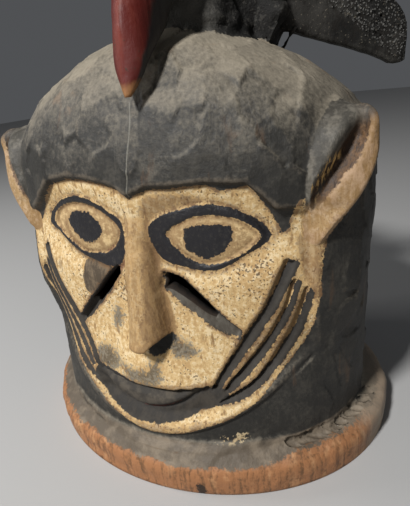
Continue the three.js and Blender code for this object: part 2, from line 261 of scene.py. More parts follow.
# lids: outer and inner edge of the painted line round each eye
lids = {
    "left": (
        [(9.5, 196), (10.2, 200.6), (14, 204), (22.2, 208.7), (32, 211.5), (43.4, 214),
         (53.1, 215.4), (62, 213.1), (71.6, 209.2), (80.1, 204.1), (85.7, 198.7), (89.8, 192.4),
         (87.3, 187.1), (80.3, 182.2), (72, 177.7), (63.5, 172.5), (54.9, 169.6), (43.5, 169.6),
         (34.1, 171.6), (24.9, 173.6), (18, 177), (13.8, 182), (10.8, 189.4)],
        [(23.3, 195.4), (28.7, 199.5), (38.5, 204.6), (49.5, 207.1), (61.8, 206.2), (71.4, 203),
         (77.8, 198.5), (81.8, 194), (82.8, 190.4), (79.1, 186.5), (72.1, 181.6), (62.7, 177),
         (53.9, 174.8), (46.1, 174.8), (37.7, 178.6), (31.6, 184), (26.5, 190)],
    ),
    "right": (
        [(-93.3, 193.9), (-86.3, 203.1), (-69.3, 214), (-57.3, 218.3), (-43.9, 219.9),
         (-30.4, 216.9), (-21.7, 211.6), (-12.5, 206), (-8.2, 200.7), (-7.6, 193), (-9.4, 182.2),
         (-13, 173), (-19.5, 169.5), (-27.1, 168.7), (-35.4, 170.1), (-47.8, 172.5), (-57.5, 176.6),
         (-66.3, 181.2), (-77.8, 187.3), (-88.8, 190)],
        [(-82.5, 196.4), (-75.3, 204.8), (-64.4, 211), (-50.1, 214), (-36.9, 212.6), (-26.9, 208.4),
         (-18, 202.2), (-13.8, 196), (-15.8, 189.6), (-20.6, 183.4), (-28.6, 178.9), (-37, 178.2),
         (-47.5, 177.5), (-55.4, 181), (-63.6, 186), (-73.6, 191)],
    ),
}

def headSizes(z, crown=None):
    h = helmet
    crown = crown or h["crown"]
    sidePower, frontPower, frontRound = h["domePowers"]
    side = np.clip((z - h["sideDomeStart"]) / (crown - h["sideDomeStart"]), 0, 1)
    front = np.clip((z - h["frontDomeStart"]) / (crown - h["frontDomeStart"]), 0, 1)
    shrink = (1 - side ** sidePower) ** (1 / sidePower)
    depth = h["faceHalfDepth"] + h["jawExtra"] * (1 - smoothStep(z, 20, 150))
    squareness = (2 + 0.6 * smoothStep(z, 90, 150) - 0.35 * smoothStep(z, 150, 200)
                  + 0.25 * smoothStep(z, 230, 290))
    return (
        (h["halfWidth"] + h["widening"] * z / h["crown"]) * shrink,
        depth * (1 - front ** frontPower) ** frontRound,
        h["backHalfDepth"] * shrink,
        squareness,
    )


def ovalPoint(sizes, angle):
    side, front, back, squareness = sizes
    x, y = np.sin(angle), -np.cos(angle)
    power = np.where(y < 0, squareness, 2.0)
    side = np.maximum(side, tiny)
    depth = np.maximum(np.where(y < 0, front, back), tiny)
    reach = ((np.abs(x) / side) ** power + (np.abs(y) / depth) ** power) ** (-1 / power)
    return x * reach, y * reach


def capLine(x):
    edge = np.array(browEdge, float)
    return np.interp(x, edge[:, 0], edge[:, 1]) + faceForms["capAbovePaint"]


def faceLine(name, x):
    # height of the chin, the lip's edge or the mouth's crease
    z, lift, half, middle = faceForms[name]
    return z + lift * ((x - middle) / half) ** 2


def lidBand(x, z, side):
    # how far a place is inside the painted line round an eye, and inside the eyeball
    outer, inner = (closedPath(edge) for edge in lids[side])
    ball = insideShape(x, z, inner)
    return np.minimum(insideShape(x, z, outer), -ball), ball


def eyeForm(x, z):
    f = faceForms
    across = (np.abs(x) - f["eyeCentre"][0]) / f["eyeHalf"][0]
    upward = (z - f["eyeCentre"][1]) / f["eyeHalf"][1]
    reach = np.hypot(across, upward)
    form = f["eyeBulge"] * np.maximum(1 - reach ** 2, 0)
    form = form - f["socketDepth"] * (1 - smoothStep(reach, 0.8, 1.75))
    for side in lids:
        band, ball = lidBand(x, z, side)
        form = form + f["lidHeight"] * smoothStep(band, -0.8, 1.4) - 0.8 * bell(ball, 1.3)
    return form


def noseForm(x, z):
    f = faceForms
    down = (f["noseTop"] - z) / (f["noseTop"] - f["noseBottom"])
    part = np.clip(down, 0, 1)
    half = f["noseHalfTop"] + (f["noseHalfBottom"] - f["noseHalfTop"]) * part
    rise = f["noseTopRise"] + (f["noseRise"] - f["noseTopRise"]) * part
    bottom = f["noseBottom"] + 7 * smoothStep(x, 5, 17)
    underside = 1 - smoothStep(bottom - z, 0, 2.2)
    across = (x - f["noseMiddle"] * part) / half
    width = np.maximum(1 - np.abs(across) ** 2.2, 0) ** 0.62
    return np.where(down < -0.1, 0, rise * underside * smoothStep(down, -0.1, 0.05) * width)


def mouthForm(x, z):
    # deep under the upper lip, rising over the lower lip and again to the chin's rim
    f = faceForms
    low, high = f["mouthEnds"]
    lip, crease = faceLine("lipEdge", x), faceLine("lipCrease", x)
    within = smoothStep(x, low, low + 16) * (1 - smoothStep(x, high - 18, high))
    rimTop = faceLine("chin", x) + f["chinBand"]
    under = (1 - smoothStep(z, lip - 1.6, lip)) * smoothStep(z, rimTop - 2, rimTop + 5)
    roll = f["lowerLip"] * smoothStep(lip - z, 3, 10) * smoothStep(z, crease, crease + 5)
    return within * under * (roll - f["mouthDepth"] - 1.5 * bell(z - crease, 1.5))


def chiselProfile(x, z, inner, outer, depth):
    # steep on the inner side, sloping up to the outer side
    inner, outer = roundedPath(inner, 3), roundedPath(outer, 3)
    fromInner = pathDistance(x, z, inner)
    width = fromInner + pathDistance(x, z, outer)
    signed = insideShape(x, z, np.vstack([inner, outer[::-1]]))
    u = fromInner / np.maximum(width, tiny)
    profile = np.minimum(smoothStep(u, 0.0, 0.22) * (1 - u) ** 0.7 * 1.35, 1)
    return np.where(signed > 0, -depth * profile * smoothStep(width, 0, 5), 0), signed, u


def cutForm(x, z):
    # cheek grooves and slit troughs; also how deep inside a cut a place is,
    # and how much it belongs to the sloping side
    form = np.zeros(x.shape)
    within = np.full(x.shape, -1e3)
    slope = np.zeros(x.shape)
    for name, side in sides.items():
        # edges, depth, and how much and where across the cut the sloping side shows
        cuts = [(edges, faceForms["grooveDepth"], 0.22, 0.25, 0.6) for edges in grooveEdges]
        shown = 0.8 if side > 0 else 0.25
        cuts.append((slits[name]["trough"], faceForms["slitDepth"], shown, 0.4, 0.55))
        for edges, depth, share, low, high in cuts:
            cut, signed, u = chiselProfile(x * side, z, *edges, depth)
            form = np.minimum(form, cut)
            within = np.maximum(within, signed)
            slope = np.maximum(slope, share * smoothStep(u, low, high) * (signed > 0))
    return form, within, slope


def faceForm(x, z):
    f = faceForms
    s = np.abs(x)
    chin = faceLine("chin", x)
    belowCap = 1 - smoothStep(z, capLine(x) - 4, capLine(x) + 0.5)
    aboveChin = smoothStep(z, chin - 2, chin + 1)
    panel = belowCap * (1 - smoothStep(s, 112, 118)) * aboveChin
    recess = 1 + (f["panelDepth"] - 1) * smoothStep(z, 60, 130)
    neck = -2.5 * (1 - aboveChin) * smoothStep(z, helmet["neckFoot"], helmet["neckFoot"] + 5)
    band = f["chinRise"] * bell(z - chin - f["chinBand"] / 2, f["chinBand"] / 2)
    muzzle = 3 * bell(x, 48) * bell(z - 92, 20)
    carved = eyeForm(x, z) + noseForm(x, z) + mouthForm(x, z) + muzzle + band - recess
    return panel * carved + neck * (1 - smoothStep(s, 85, 110)) + cutForm(x, z)[0]


def headPoint(angle, z):
    # point of the carved outside for an angle from the face's middle and a height
    sizes = headSizes(z)
    x, y = ovalPoint(sizes, angle)
    step = 0.01
    ax, ay = ovalPoint(sizes, angle + step)
    bx, by = ovalPoint(sizes, angle - step)
    length = np.hypot(ax - bx, ay - by) + 1e-9
    nx, ny = (ay - by) / length, -(ax - bx) / length
    facing = 1 - smoothStep(np.abs(angle), 1.35, 1.5)
    form = np.zeros(x.shape)
    carved = (facing > 0) & (z < 240)
    form[carved] = facing[carved] * faceForm(x[carved], z[carved])
    return x + nx * form, y + ny * form


# making meshes

headShift = np.array([0.0, -helmet["headForward"], 0.0])


def readAll(items, key, kind=float, width=1):
    values = np.zeros(len(items) * width, kind)
    items.foreach_get(key, values)
    return values.reshape(-1, width) if width > 1 else values


def newObject(name, data):
    piece = bpy.data.objects.new(name, data)
    bpy.context.scene.collection.objects.link(piece)
    return piece


def setLevel(points, z):
    # a ring of x and y, all at one height
    return np.column_stack([*points, np.full(len(points[0]), float(z))])


def ringSolid(name, rings, firstTip=None, lastTip=None):
    # closed solid through rings of points, in millimetres, closed by a fan at each end
    rings = np.array(rings)
    rows, columns = rings.shape[:2]
    first = rings[0].mean(axis=0) if firstTip is None else firstTip
    last = rings[-1].mean(axis=0) if lastTip is None else lastTip
    points = np.vstack([rings.reshape(-1, 3), first, last])
    nexts = [(c, (c + 1) % columns) for c in range(columns)]
    faces = [(r + c, r + n, r + columns + n, r + columns + c)
             for r in range(0, (rows - 1) * columns, columns) for c, n in nexts]
    a, b, top = len(points) - 2, len(points) - 1, (rows - 1) * columns
    for c, n in nexts:
        faces += [(a, n, c), (b, top + c, top + n)]
    mesh = bpy.data.meshes.new(name)
    mesh.from_pydata(((points + headShift) / perMetre).tolist(), [], faces)
    mesh.update()
    if solidVolume(mesh) < 0:
        mesh.flip_normals()
    return newObject(name, mesh)


def solidVolume(mesh):
    mesh.calc_loop_triangles()
    corners = readAll(mesh.vertices, "co", width=3)
    triangles = readAll(mesh.loop_triangles, "vertices", int, 3)
    a, b, c = corners[triangles.T]
    return float((a * np.cross(b, c)).sum() / 6)


def applyStep(piece, step):
    # make the modifier's result the piece's own mesh
    bpy.context.view_layer.update()
    graph = bpy.context.evaluated_depsgraph_get()
    result = bpy.data.meshes.new_from_object(piece.evaluated_get(graph), depsgraph=graph)
    piece.modifiers.remove(step)
    old = piece.data
    piece.data = result
    bpy.data.meshes.remove(old)
    return piece


def joinSolids(base, other, operation="UNION"):
    step = base.modifiers.new("join", "BOOLEAN")
    step.operation = operation
    step.solver = "MANIFOLD"
    step.material_mode = "TRANSFER"
    step.object = other
    applyStep(base, step)
    if len(base.data.polygons) == 0:
        raise ValueError("nothing left after joining " + other.name)
    bpy.data.objects.remove(other)


def spacedAngles():
    # fine over the face, coarse at the back
    h = helmet
    dense = np.radians(np.linspace(-180, 180, 3601))
    x, y = ovalPoint(headSizes(np.full(dense.shape, 140.0)), dense)
    step = np.hypot(np.diff(x), np.diff(y))
    faceShare = 1 - smoothStep(np.abs(dense), 1.38, 1.75)
    wide = h["backSpacing"] + (h["faceSpacing"] - h["backSpacing"]) * faceShare
    count = np.concatenate([[0], np.cumsum(step / ((wide[1:] + wide[:-1]) / 2))])
    return np.interp(np.arange(int(count[-1])), count, dense)


# the rim's rings: scale, height, and how far in towards the neck's foot
rimRings = [
    (0.95, 0, 0), (0.975, 0, 0), (0.986, 0.6, 0), (0.991, 3, 0), (0.995, 7, 0),
    (0.998, 10.5, 0), (1.0, 14, 0), (0.999, 18, 0), (0.994, 21, 0), (0.985, 24, 0),
    (0.978, 25.6, 0.12), (0.975, 27.2, 0.28), (0.975, 28.6, 0.44), (0.975, 29.8, 0.6),
    (0.975, 31.0, 0.76), (0.975, 32.2, 0.88), (0.975, 33.6, 0.96),
]


def buildHelmet():
    h = helmet
    angles = spacedAngles()
    sine, cosine = np.sin(angles), -np.cos(angles)
    footX, footY = headPoint(angles, np.full(angles.shape, h["neckFoot"]))
    footY = footY - 5 * bell(footX - 8, 45) * (footY < 0)
    reach = 1 / np.sqrt((sine / h["rimHalfWidth"]) ** 2 + (cosine / h["rimHalfDepth"]) ** 2)
    rings = []
    for scale, z, inward in rimRings:
        x, y = sine * reach * scale, cosine * reach * scale + h["headForward"]
        rings.append(setLevel((x + (footX - x) * inward, y + (footY - y) * inward), z))
    heights = list(np.arange(h["neckFoot"], h["sideDomeStart"], h["faceSpacing"]))
    domeRows = int(165 / h["domeSpacing"])
    domeHeight = h["crown"] - h["sideDomeStart"]
    heights += [h["sideDomeStart"] + domeHeight * math.sin(math.pi / 2 * i / domeRows) ** 1.15
                for i in range(domeRows)]
    angleGrid, heightGrid = (grid.ravel() for grid in np.meshgrid(angles, heights))
    points = np.column_stack([*headPoint(angleGrid, heightGrid), heightGrid])
    rings += list(points.reshape(len(heights), len(angles), 3))
    return ringSolid("helmetMask", rings, (0, h["headForward"], 0), (0, 0, h["crown"]))


def buildHollow():
    h = helmet
    top, foot, rows = h["crown"] - h["crownWall"], -10.0, 31
    rings = []
    angles = np.radians(np.arange(-180, 180, 4.0))
    for i in range(rows):
        z = foot if i == 0 else top * math.sin(math.pi / 2 * i / rows) ** 1.1
        side, front, back, squareness = headSizes(np.full(angles.shape, max(z, 0.0)), top)
        sizes = (
            side - h["sideWall"] * side / h["halfWidth"],
            front - h["faceWall"] * front / h["faceHalfDepth"],
            back - h["backWall"] * back / h["backHalfDepth"],
            squareness,
        )
        rings.append(setLevel(ovalPoint(sizes, angles), z))
    return ringSolid("hollow", rings, (0, 0, foot), (0, 0, top))


def buildSlit(name):
    upper, lower = (roundedPath(edge, 3) for edge in slits[name]["opening"])
    rings = [[(x * sides[name], y, z) for x, z in (*upper, *lower[::-1])] for y in (-60, -125)]
    return ringSolid("slitCut", rings)


# ears

earForm = {
    # z, root x, rim x, rim y, back y, lobe, hollow, and where the hollow starts and ends
    "levels": [(184, 113, 118, -67, -52, 0, 0, 0.02, 0.1),
               (196, 112.5, 125.5, -65, -38, 1, 1, 0.02, 0.12),
               (208, 112, 136, -61, -26, 2, 5, 0.04, 0.27),
               (221, 111, 144, -56, -16, 4, 9, 0.12, 0.51),
               (234, 112, 148, -50, -9, 5.5, 11, 0.31, 0.7),
               (246, 114, 148.5, -47, -9, 6, 11, 0.51, 0.81),
               (255, 116, 148, -48, -14, 5, 8, 0.65, 0.87),
               (260, 118, 146, -46, -18, 3.5, 4, 0.7, 0.88),
               (265, 120, 140, -41, -24, 1.5, 1, 0.72, 0.88)],
    "forward": (0.45, -0.9),
    "rowSpacing": 1.7,
}


def earRows():
    table = np.array(earForm["levels"], float)
    smooth = roundedPath(table, 12)
    heights = np.arange(table[0, 0], table[-1, 0], earForm["rowSpacing"])
    heights = np.append(heights, table[-1, 0])
    return np.column_stack([np.interp(heights, smooth[:, 0], column) for column in smooth.T])


def earSection(row):
    # named points of the ear's front at one height, on the mask's left side
    z, rootX, rimX, rimY, backY, lobe, hollow, starts, ends = row
    side, front = (float(size) for size in headSizes(z)[:2])
    angles = np.linspace(0.3, math.pi / 2, 120)
    x, y = headPoint(angles, np.full(angles.shape, z))
    k = int(np.argmin(np.abs(x - min(rootX, side * 0.97))))
    root = np.array([x[k], y[k]])
    root = root - (1 + 5 * smoothStep(z, 250, 264)) * root / np.hypot(*root)
    rim = np.array([rimX, rimY])
    width = rim - root
    forward = np.array(earForm["forward"])
    crest = root + width * starts * 0.62 + forward * lobe
    dip = root + width * (starts + ends) / 2 + forward * (lobe - hollow)
    band = root + width * (ends + 0.04) + forward * lobe * 0.25
    behind = np.array([side * math.sqrt(max(1 - (backY / front) ** 2, 0)) - 4, backY])
    inner = np.array([side * 0.62, -front * 0.72])
    centre = np.array([side * 0.7, backY * 0.7])
    return inner, root, crest, dip, band, rim, behind, centre


def buildEar(side):
    rings = []
    for row in earRows():
        inner, root, crest, dip, band, rim, behind, centre = earSection(row)
        lip = rim + (band - rim) * 0.12 + np.array(earForm["forward"]) * 0.6
        front = roundedPath([root, crest, dip, band, lip], 5)
        outer = rim + (behind - rim) * 0.06 + np.array([0.8, 0.6])
        back = rim + (behind - rim) * np.linspace(0.15, 1, 8)[:, None]
        ring = np.vstack([inner, front, rim, outer, back, centre])
        rings.append(setLevel((ring[:, 0] * side, ring[:, 1]), row[0]))
    return ringSolid("ear", rings)


# bird

bird = {
    "middleX": 12.0,
    "headSides": 56,
    "bodySides": 72,
    "rowSpacing": 2.2,
    "wingThickness": 12.0,
    "wingSweepLeft": 0.76,
    "wingSweepRight": 0.98,
    "wingStart": 17.0,
    "postHalf": 1.9,
    "postEnds": ((66.5, 30, 290.0), (83, 34, 314.0)),
    "keel": 0.22,
}

# z, half width, front, back, squareness
beakLevels = [(281, 2, -94, -90, 2), (286, 5, -93, -85, 2.2), (293, 8.5, -91.5, -80, 2.4),
              (301, 11, -90, -74, 2.6), (310, 12.5, -88.5, -62, 2.7), (320, 13.5, -86.5, -48, 2.7),
              (335, 15.5, -82, -35, 2.6), (350, 19, -76, -22, 2.4), (366, 22.5, -66, -12, 2.2),
              (379, 21, -55, -8, 2.1), (388, 14, -44, -14, 2), (391.6, 6, -34, -22, 2)]
bodyLevels = [(286, 57, -32, 78, 3.4), (307, 49, -30, 76, 3.4), (331, 38, -30, 74, 3),
              (350, 33, -29, 68, 2.6), (363, 26, -27, 56, 2.3), (371, 15, -22, 36, 2)]
# out from the bird's middle, lower and upper edge
wingStations = [(18, 322, 352), (38, 318, 360), (62, 314, 362), (84, 305, 356), (106, 297, 346),
                (126, 288, 333), (138, 282, 324), (146, 284, 310)]
# y, half width, low, high
tailStations = [(50, 26, 330, 352), (78, 25, 322, 342), (104, 30, 308, 322), (126, 36, 292, 302)]


def levelRing(level, count, ridge):
    z, half, front, back, power = level
    angle = 2 * math.pi * np.arange(count) / count
    x, y = np.sin(angle), -np.cos(angle)
    reach = (np.abs(x) ** power + np.abs(y) ** power) ** (-1 / power)
    x, y = x * reach, y * reach
    if ridge:   # a blunt keel along the beak's front
        y = np.where(y < 0, y - ridge * (1 - np.abs(x)) ** 1.5 + ridge * 0.45, y)
    y = (front + back) / 2 + (back - front) / 2 * y
    return setLevel((bird["middleX"] + half * x, y), z)


def levelSolid(name, levels, count, ridge=0.0):
    smooth = roundedPath(levels, 10)
    lengths = np.hypot(np.diff(smooth[:, 0]), np.diff(smooth[:, 1]))
    run = np.concatenate([[0], np.cumsum(lengths)])
    stops = np.linspace(0, run[-1], int(run[-1] / bird["rowSpacing"]))
    rows = np.column_stack([np.interp(stops, run, column) for column in smooth.T])
    return ringSolid(name, [levelRing(row, count, ridge) for row in rows])


def buildWing(side):
    table = roundedPath(wingStations, 8)
    rings = []
    sweep = bird["wingSweepLeft"] if side > 0 else bird["wingSweepRight"]
    last = table[-1, 0]
    share = np.linspace(0, 1, 15)
    belly = 0.55 + 0.45 * np.sin(np.linspace(0.25, math.pi - 0.1, 15))
    for out, low, high in table:
        ends = math.sqrt(max(1 - max((out - last + 9) / 9, 0) ** 2, 0)) * 0.75 + 0.25
        half = bird["wingThickness"] / 2 * ends
        behind = out * sweep - bird["wingStart"] + 3 * bell(out - 70, 50) - 1.5
        heights = low + (high - low) * share
        front = list(zip(-half * belly, heights))
        rear = list(zip(half * belly, heights))[::-1]
        section = [(-half * 0.2, low - 0.3)] + front + [(half * 0.1, high + 0.3)] + rear
        rings.append([(bird["middleX"] + side * (out - offset * 0.62), behind + offset * 0.78, z)
                      for offset, z in section])
    return ringSolid("wing", rings)


def buildWingRoot(side):
    outline = roundedPath([(36, 284), (54, 286), (54.5, 300), (60, 310), (67, 330), (36, 340)], 8)
    middle = outline.mean(axis=0)
    rounding = [(0, 0.2), (0, 0.4), (0, 0.6), (0, 0.8), (0.6, 0.94), (2.5, 1.0)]
    rounds = [(14 + y, shrink) for y, shrink in rounding]
    rounds += [(y, 1.0) for y in np.arange(19.0, 38.0, 2.5)]
    rounds += [(42 - y, shrink) for y, shrink in reversed(rounding)]
    rings = [[(bird["middleX"] + side * out, y, z)
              for out, z in middle + (outline - middle) * shrink] for y, shrink in rounds]
    return ringSolid("wingRoot", rings)


def buildTail():
    across = np.linspace(-1, 1, 13)
    rings = []
    for y, half, low, high in roundedPath(tailStations, 5):
        under = [(bird["middleX"] + half * k, y, low + 1.5 * (1 - abs(k))) for k in across]
        over = [(bird["middleX"] + half * k, y, high - 4 * abs(k) ** 1.3) for k in across[::-1]]
        rings.append(under + over)
    return ringSolid("tail", rings)


def buildPost():
    foot, top = (np.array(end) for end in bird["postEnds"])
    rings = []
    for t in np.linspace(0, 1, 12):
        half = bird["postHalf"] * (1 + 0.25 * abs(2 * t - 1) ** 3)
        rings.append([foot + (top - foot) * t + (half * math.cos(a), half * math.sin(a), 0)
                      for a in np.radians(np.arange(0, 360, 36))])
    return ringSolid("post", rings)


# repeated marks, by Geometry Nodes

# gouge marks where the neck meets the rim on the mask's left front
gouges = {
    "start": 0.88,           # share of the oval, counted from the mask's left side round its back
    "end": 0.985,
    "rounds": 3,             # cut one set after another, because neighbours overlap
    "count": 5,              # in each set
    "length": 20.0,
    "width": 7.5,
    "depth": 10.0,
    "height": 33.0,          # mm above the floor
    "halfWidth": 149.0,
    "halfDepth": 122.5,
    "lean": 0.6,             # all are cut in about this direction, in radians from the mask's left
    "seed": 5,
}

stipple = {
    "spacing": 2.0,          # mm between dots
    "size": 0.62,
    "start": 92.0,           # the dotted band's distance from the bird's middle, at the base
    "base": 330.0,
    "slant": 1.1,
    "seed": 11,
}


def newTree(name, kinds):
    tree = bpy.data.node_groups.new(name, "GeometryNodeTree")
    tree.interface.new_socket("Geometry", in_out="OUTPUT", socket_type="NodeSocketGeometry")
    for kind, labels in {"Geometry": ["Geometry"], **kinds}.items():
        for label in labels:
            tree.interface.new_socket(label, in_out="INPUT", socket_type="NodeSocket" + kind)
    return tree, tree.nodes.new("NodeGroupInput").outputs


def addNode(tree, kind, values=None, **settings):
    # a value that is a node stands for its first output
    node = tree.nodes.new(kind)
    for key, value in settings.items():
        setattr(node, key, value)
    for key, value in (values or {}).items():
        if isinstance(value, bpy.types.Node):
            value = value.outputs[0]
        if isinstance(value, bpy.types.NodeSocket):
            tree.links.new(value, node.inputs[key])
        else:
            node.inputs[key].default_value = value
    return node


def applyTree(name, mesh, tree, values):
    piece = newObject(name, mesh)
    step = piece.modifiers.new(tree.name, "NODES")
    step.node_group = tree
    for item in tree.interface.items_tree:
        if item.in_out == "INPUT" and item.name in values:
            step[item.identifier] = values[item.name]
    return applyStep(piece, step)


def finishTree(tree, copies, material):
    real = addNode(tree, "GeometryNodeRealizeInstances", {"Geometry": copies})
    coat = addNode(tree, "GeometryNodeSetMaterial", {"Geometry": real, "Material": material})
    addNode(tree, "NodeGroupOutput", {0: coat})
    return tree


def gougeTree():
    # narrow scoops set along part of an oval, all cut in nearly the same direction
    tree, given = newTree("gouges", {
        "Float": ["Half Width", "Half Depth", "Height", "Start", "End", "Turn"],
        "Int": ["Count", "Seed"], "Vector": ["Size"], "Material": ["Material"]})
    circle = addNode(tree, "GeometryNodeCurvePrimitiveCircle", {"Resolution": 120, "Radius": 1.0})
    scale = addNode(tree, "ShaderNodeCombineXYZ", {
        "X": given["Half Width"], "Y": given["Half Depth"], "Z": 1.0})
    place = addNode(tree, "ShaderNodeCombineXYZ", {"Z": given["Height"]})
    oval = addNode(tree, "GeometryNodeTransform", {
        "Geometry": circle, "Scale": scale, "Translation": place})
    part = addNode(tree, "GeometryNodeTrimCurve", {
        "Curve": oval, 2: given["Start"], 3: given["End"]})
    stops = addNode(tree, "GeometryNodeResampleCurve", {"Curve": part, "Count": given["Count"]})
    scoop = addNode(tree, "GeometryNodeMeshUVSphere", {"Segments": 14, "Rings": 9, "Radius": 0.5})
    lean = addNode(tree, "FunctionNodeRandomValue", {
        "Min": (-0.35, -0.2, -0.3), "Max": (0.35, 0.2, 0.3), "Seed": given["Seed"]},
        data_type="FLOAT_VECTOR")
    turned = addNode(tree, "ShaderNodeCombineXYZ", {"Z": given["Turn"]})
    angles = addNode(tree, "ShaderNodeVectorMath", {0: lean, 1: turned}, operation="ADD")
    twisted = addNode(tree, "FunctionNodeEulerToRotation", {0: angles})
    vary = addNode(tree, "FunctionNodeRandomValue", {
        "Min": 0.7, "Max": 1.1, "Seed": given["Seed"]}, data_type="FLOAT")
    size = addNode(tree, "ShaderNodeVectorMath", {
        0: given["Size"], "Scale": vary.outputs[1]}, operation="SCALE")
    bites = addNode(tree, "GeometryNodeInstanceOnPoints", {
        "Points": stops, "Instance": scoop, "Rotation": twisted, "Scale": size})
    return finishTree(tree, bites, given["Material"])


def stippleTree():
    # small raised dots over the outer part of a wing's front
    tree, given = newTree("wingStipple", {
        "Float": ["Spacing", "Size", "Middle", "Start", "Base", "Slant"],
        "Int": ["Seed"], "Material": ["Material"]})

    def maths(operation, *values):
        return addNode(tree, "ShaderNodeMath", dict(enumerate(values)), operation=operation)

    def compare(operation, *values):
        return addNode(tree, "FunctionNodeCompare", dict(enumerate(values)),
                       data_type="FLOAT", operation=operation)

    place = addNode(tree, "ShaderNodeSeparateXYZ", {
        0: addNode(tree, "GeometryNodeInputPosition")}).outputs
    away = maths("ABSOLUTE", maths("SUBTRACT", place["X"], given["Middle"]))
    above = maths("SUBTRACT", place["Z"], given["Base"])
    slanted = maths("MULTIPLY_ADD", above, given["Slant"], away)
    facing = addNode(tree, "ShaderNodeSeparateXYZ", {
        0: addNode(tree, "GeometryNodeInputNormal")}).outputs
    chosen = addNode(tree, "FunctionNodeBooleanMath", {
        0: compare("GREATER_THAN", slanted, given["Start"]),
        1: compare("LESS_THAN", facing["Y"], 0.0)}, operation="AND")
    points = addNode(tree, "GeometryNodeDistributePointsOnFaces", {
        "Mesh": given["Geometry"], "Selection": chosen, "Distance Min": given["Spacing"],
        "Density Max": 200000.0, "Seed": given["Seed"]}, distribute_method="POISSON")
    dot = addNode(tree, "GeometryNodeMeshIcoSphere", {"Radius": given["Size"], "Subdivisions": 1})
    vary = addNode(tree, "FunctionNodeRandomValue", {
        "Min": 0.6, "Max": 1.3, "Seed": given["Seed"]}, data_type="FLOAT")
    dots = addNode(tree, "GeometryNodeInstanceOnPoints", {
        "Points": points, "Instance": dot,
        "Rotation": points.outputs["Rotation"], "Scale": vary.outputs[1]})
    return finishTree(tree, dots, given["Material"])


def makeGouges(material, turn):
    g = gouges
    # each set starts a little further along
    shift = (g["end"] - g["start"]) / (g["count"] * g["rounds"])
    return applyTree("gouges", bpy.data.meshes.new("gouges"), gougeTree(), {
        "Half Width": g["halfWidth"] / perMetre,
        "Half Depth": g["halfDepth"] / perMetre,
        "Height": g["height"] / perMetre,
        "Start": g["start"] + turn * shift,
        "End": g["end"] - (g["rounds"] - 1 - turn) * shift,
        "Count": g["count"],
        "Size": tuple(g[key] / perMetre for key in ("length", "width", "depth")),
        "Turn": g["lean"],
        "Seed": g["seed"] + turn,
        "Material": material,
    })


def makeDots(wing, material):
    s = stipple
    return applyTree("dots", wing.data.copy(), stippleTree(), {
        "Spacing": s["spacing"] / perMetre,
        "Size": s["size"] / perMetre,
        "Middle": bird["middleX"] / perMetre,
        "Start": s["start"] / perMetre,
        "Base": s["base"] / perMetre,
        "Slant": s["slant"],
        "Seed": s["seed"],
        "Material": material,
    })


# one carved block

def coatWith(piece, material):
    piece.data.materials.clear()
    piece.data.materials.append(material)
    return piece


def carveMask(coats):
    mask = coatWith(buildHelmet(), coats["face"])
    parts = []
    for side in sides.values():
        parts.append(coatWith(buildEar(side), coats["ear"]))
        wing = coatWith(buildWing(side), coats["bird"])
        joinSolids(wing, makeDots(wing, coats["dots"]))
        parts += [wing, coatWith(buildWingRoot(side), coats["bird"])]
    body = levelSolid("birdBody", bodyLevels, bird["bodySides"])
    head = levelSolid("birdHead", beakLevels, bird["headSides"], bird["keel"])
    parts += [coatWith(body, coats["bird"]), coatWith(head, coats["beak"]),
              coatWith(buildTail(), coats["bird"]), coatWith(buildPost(), coats["bird"])]
    for part in parts:
        joinSolids(mask, part)
    print("parts joined")
    for turn in range(gouges["rounds"]):
        joinSolids(mask, makeGouges(coats["face"], turn), "DIFFERENCE")
    joinSolids(mask, coatWith(buildHollow(), coats["inside"]), "DIFFERENCE")
    for name in slits:
        joinSolids(mask, coatWith(buildSlit(name), coats["cut"]), "DIFFERENCE")
    print("hollow and slits cut")
    return mask


# paint and wear, as numbers kept on the surface

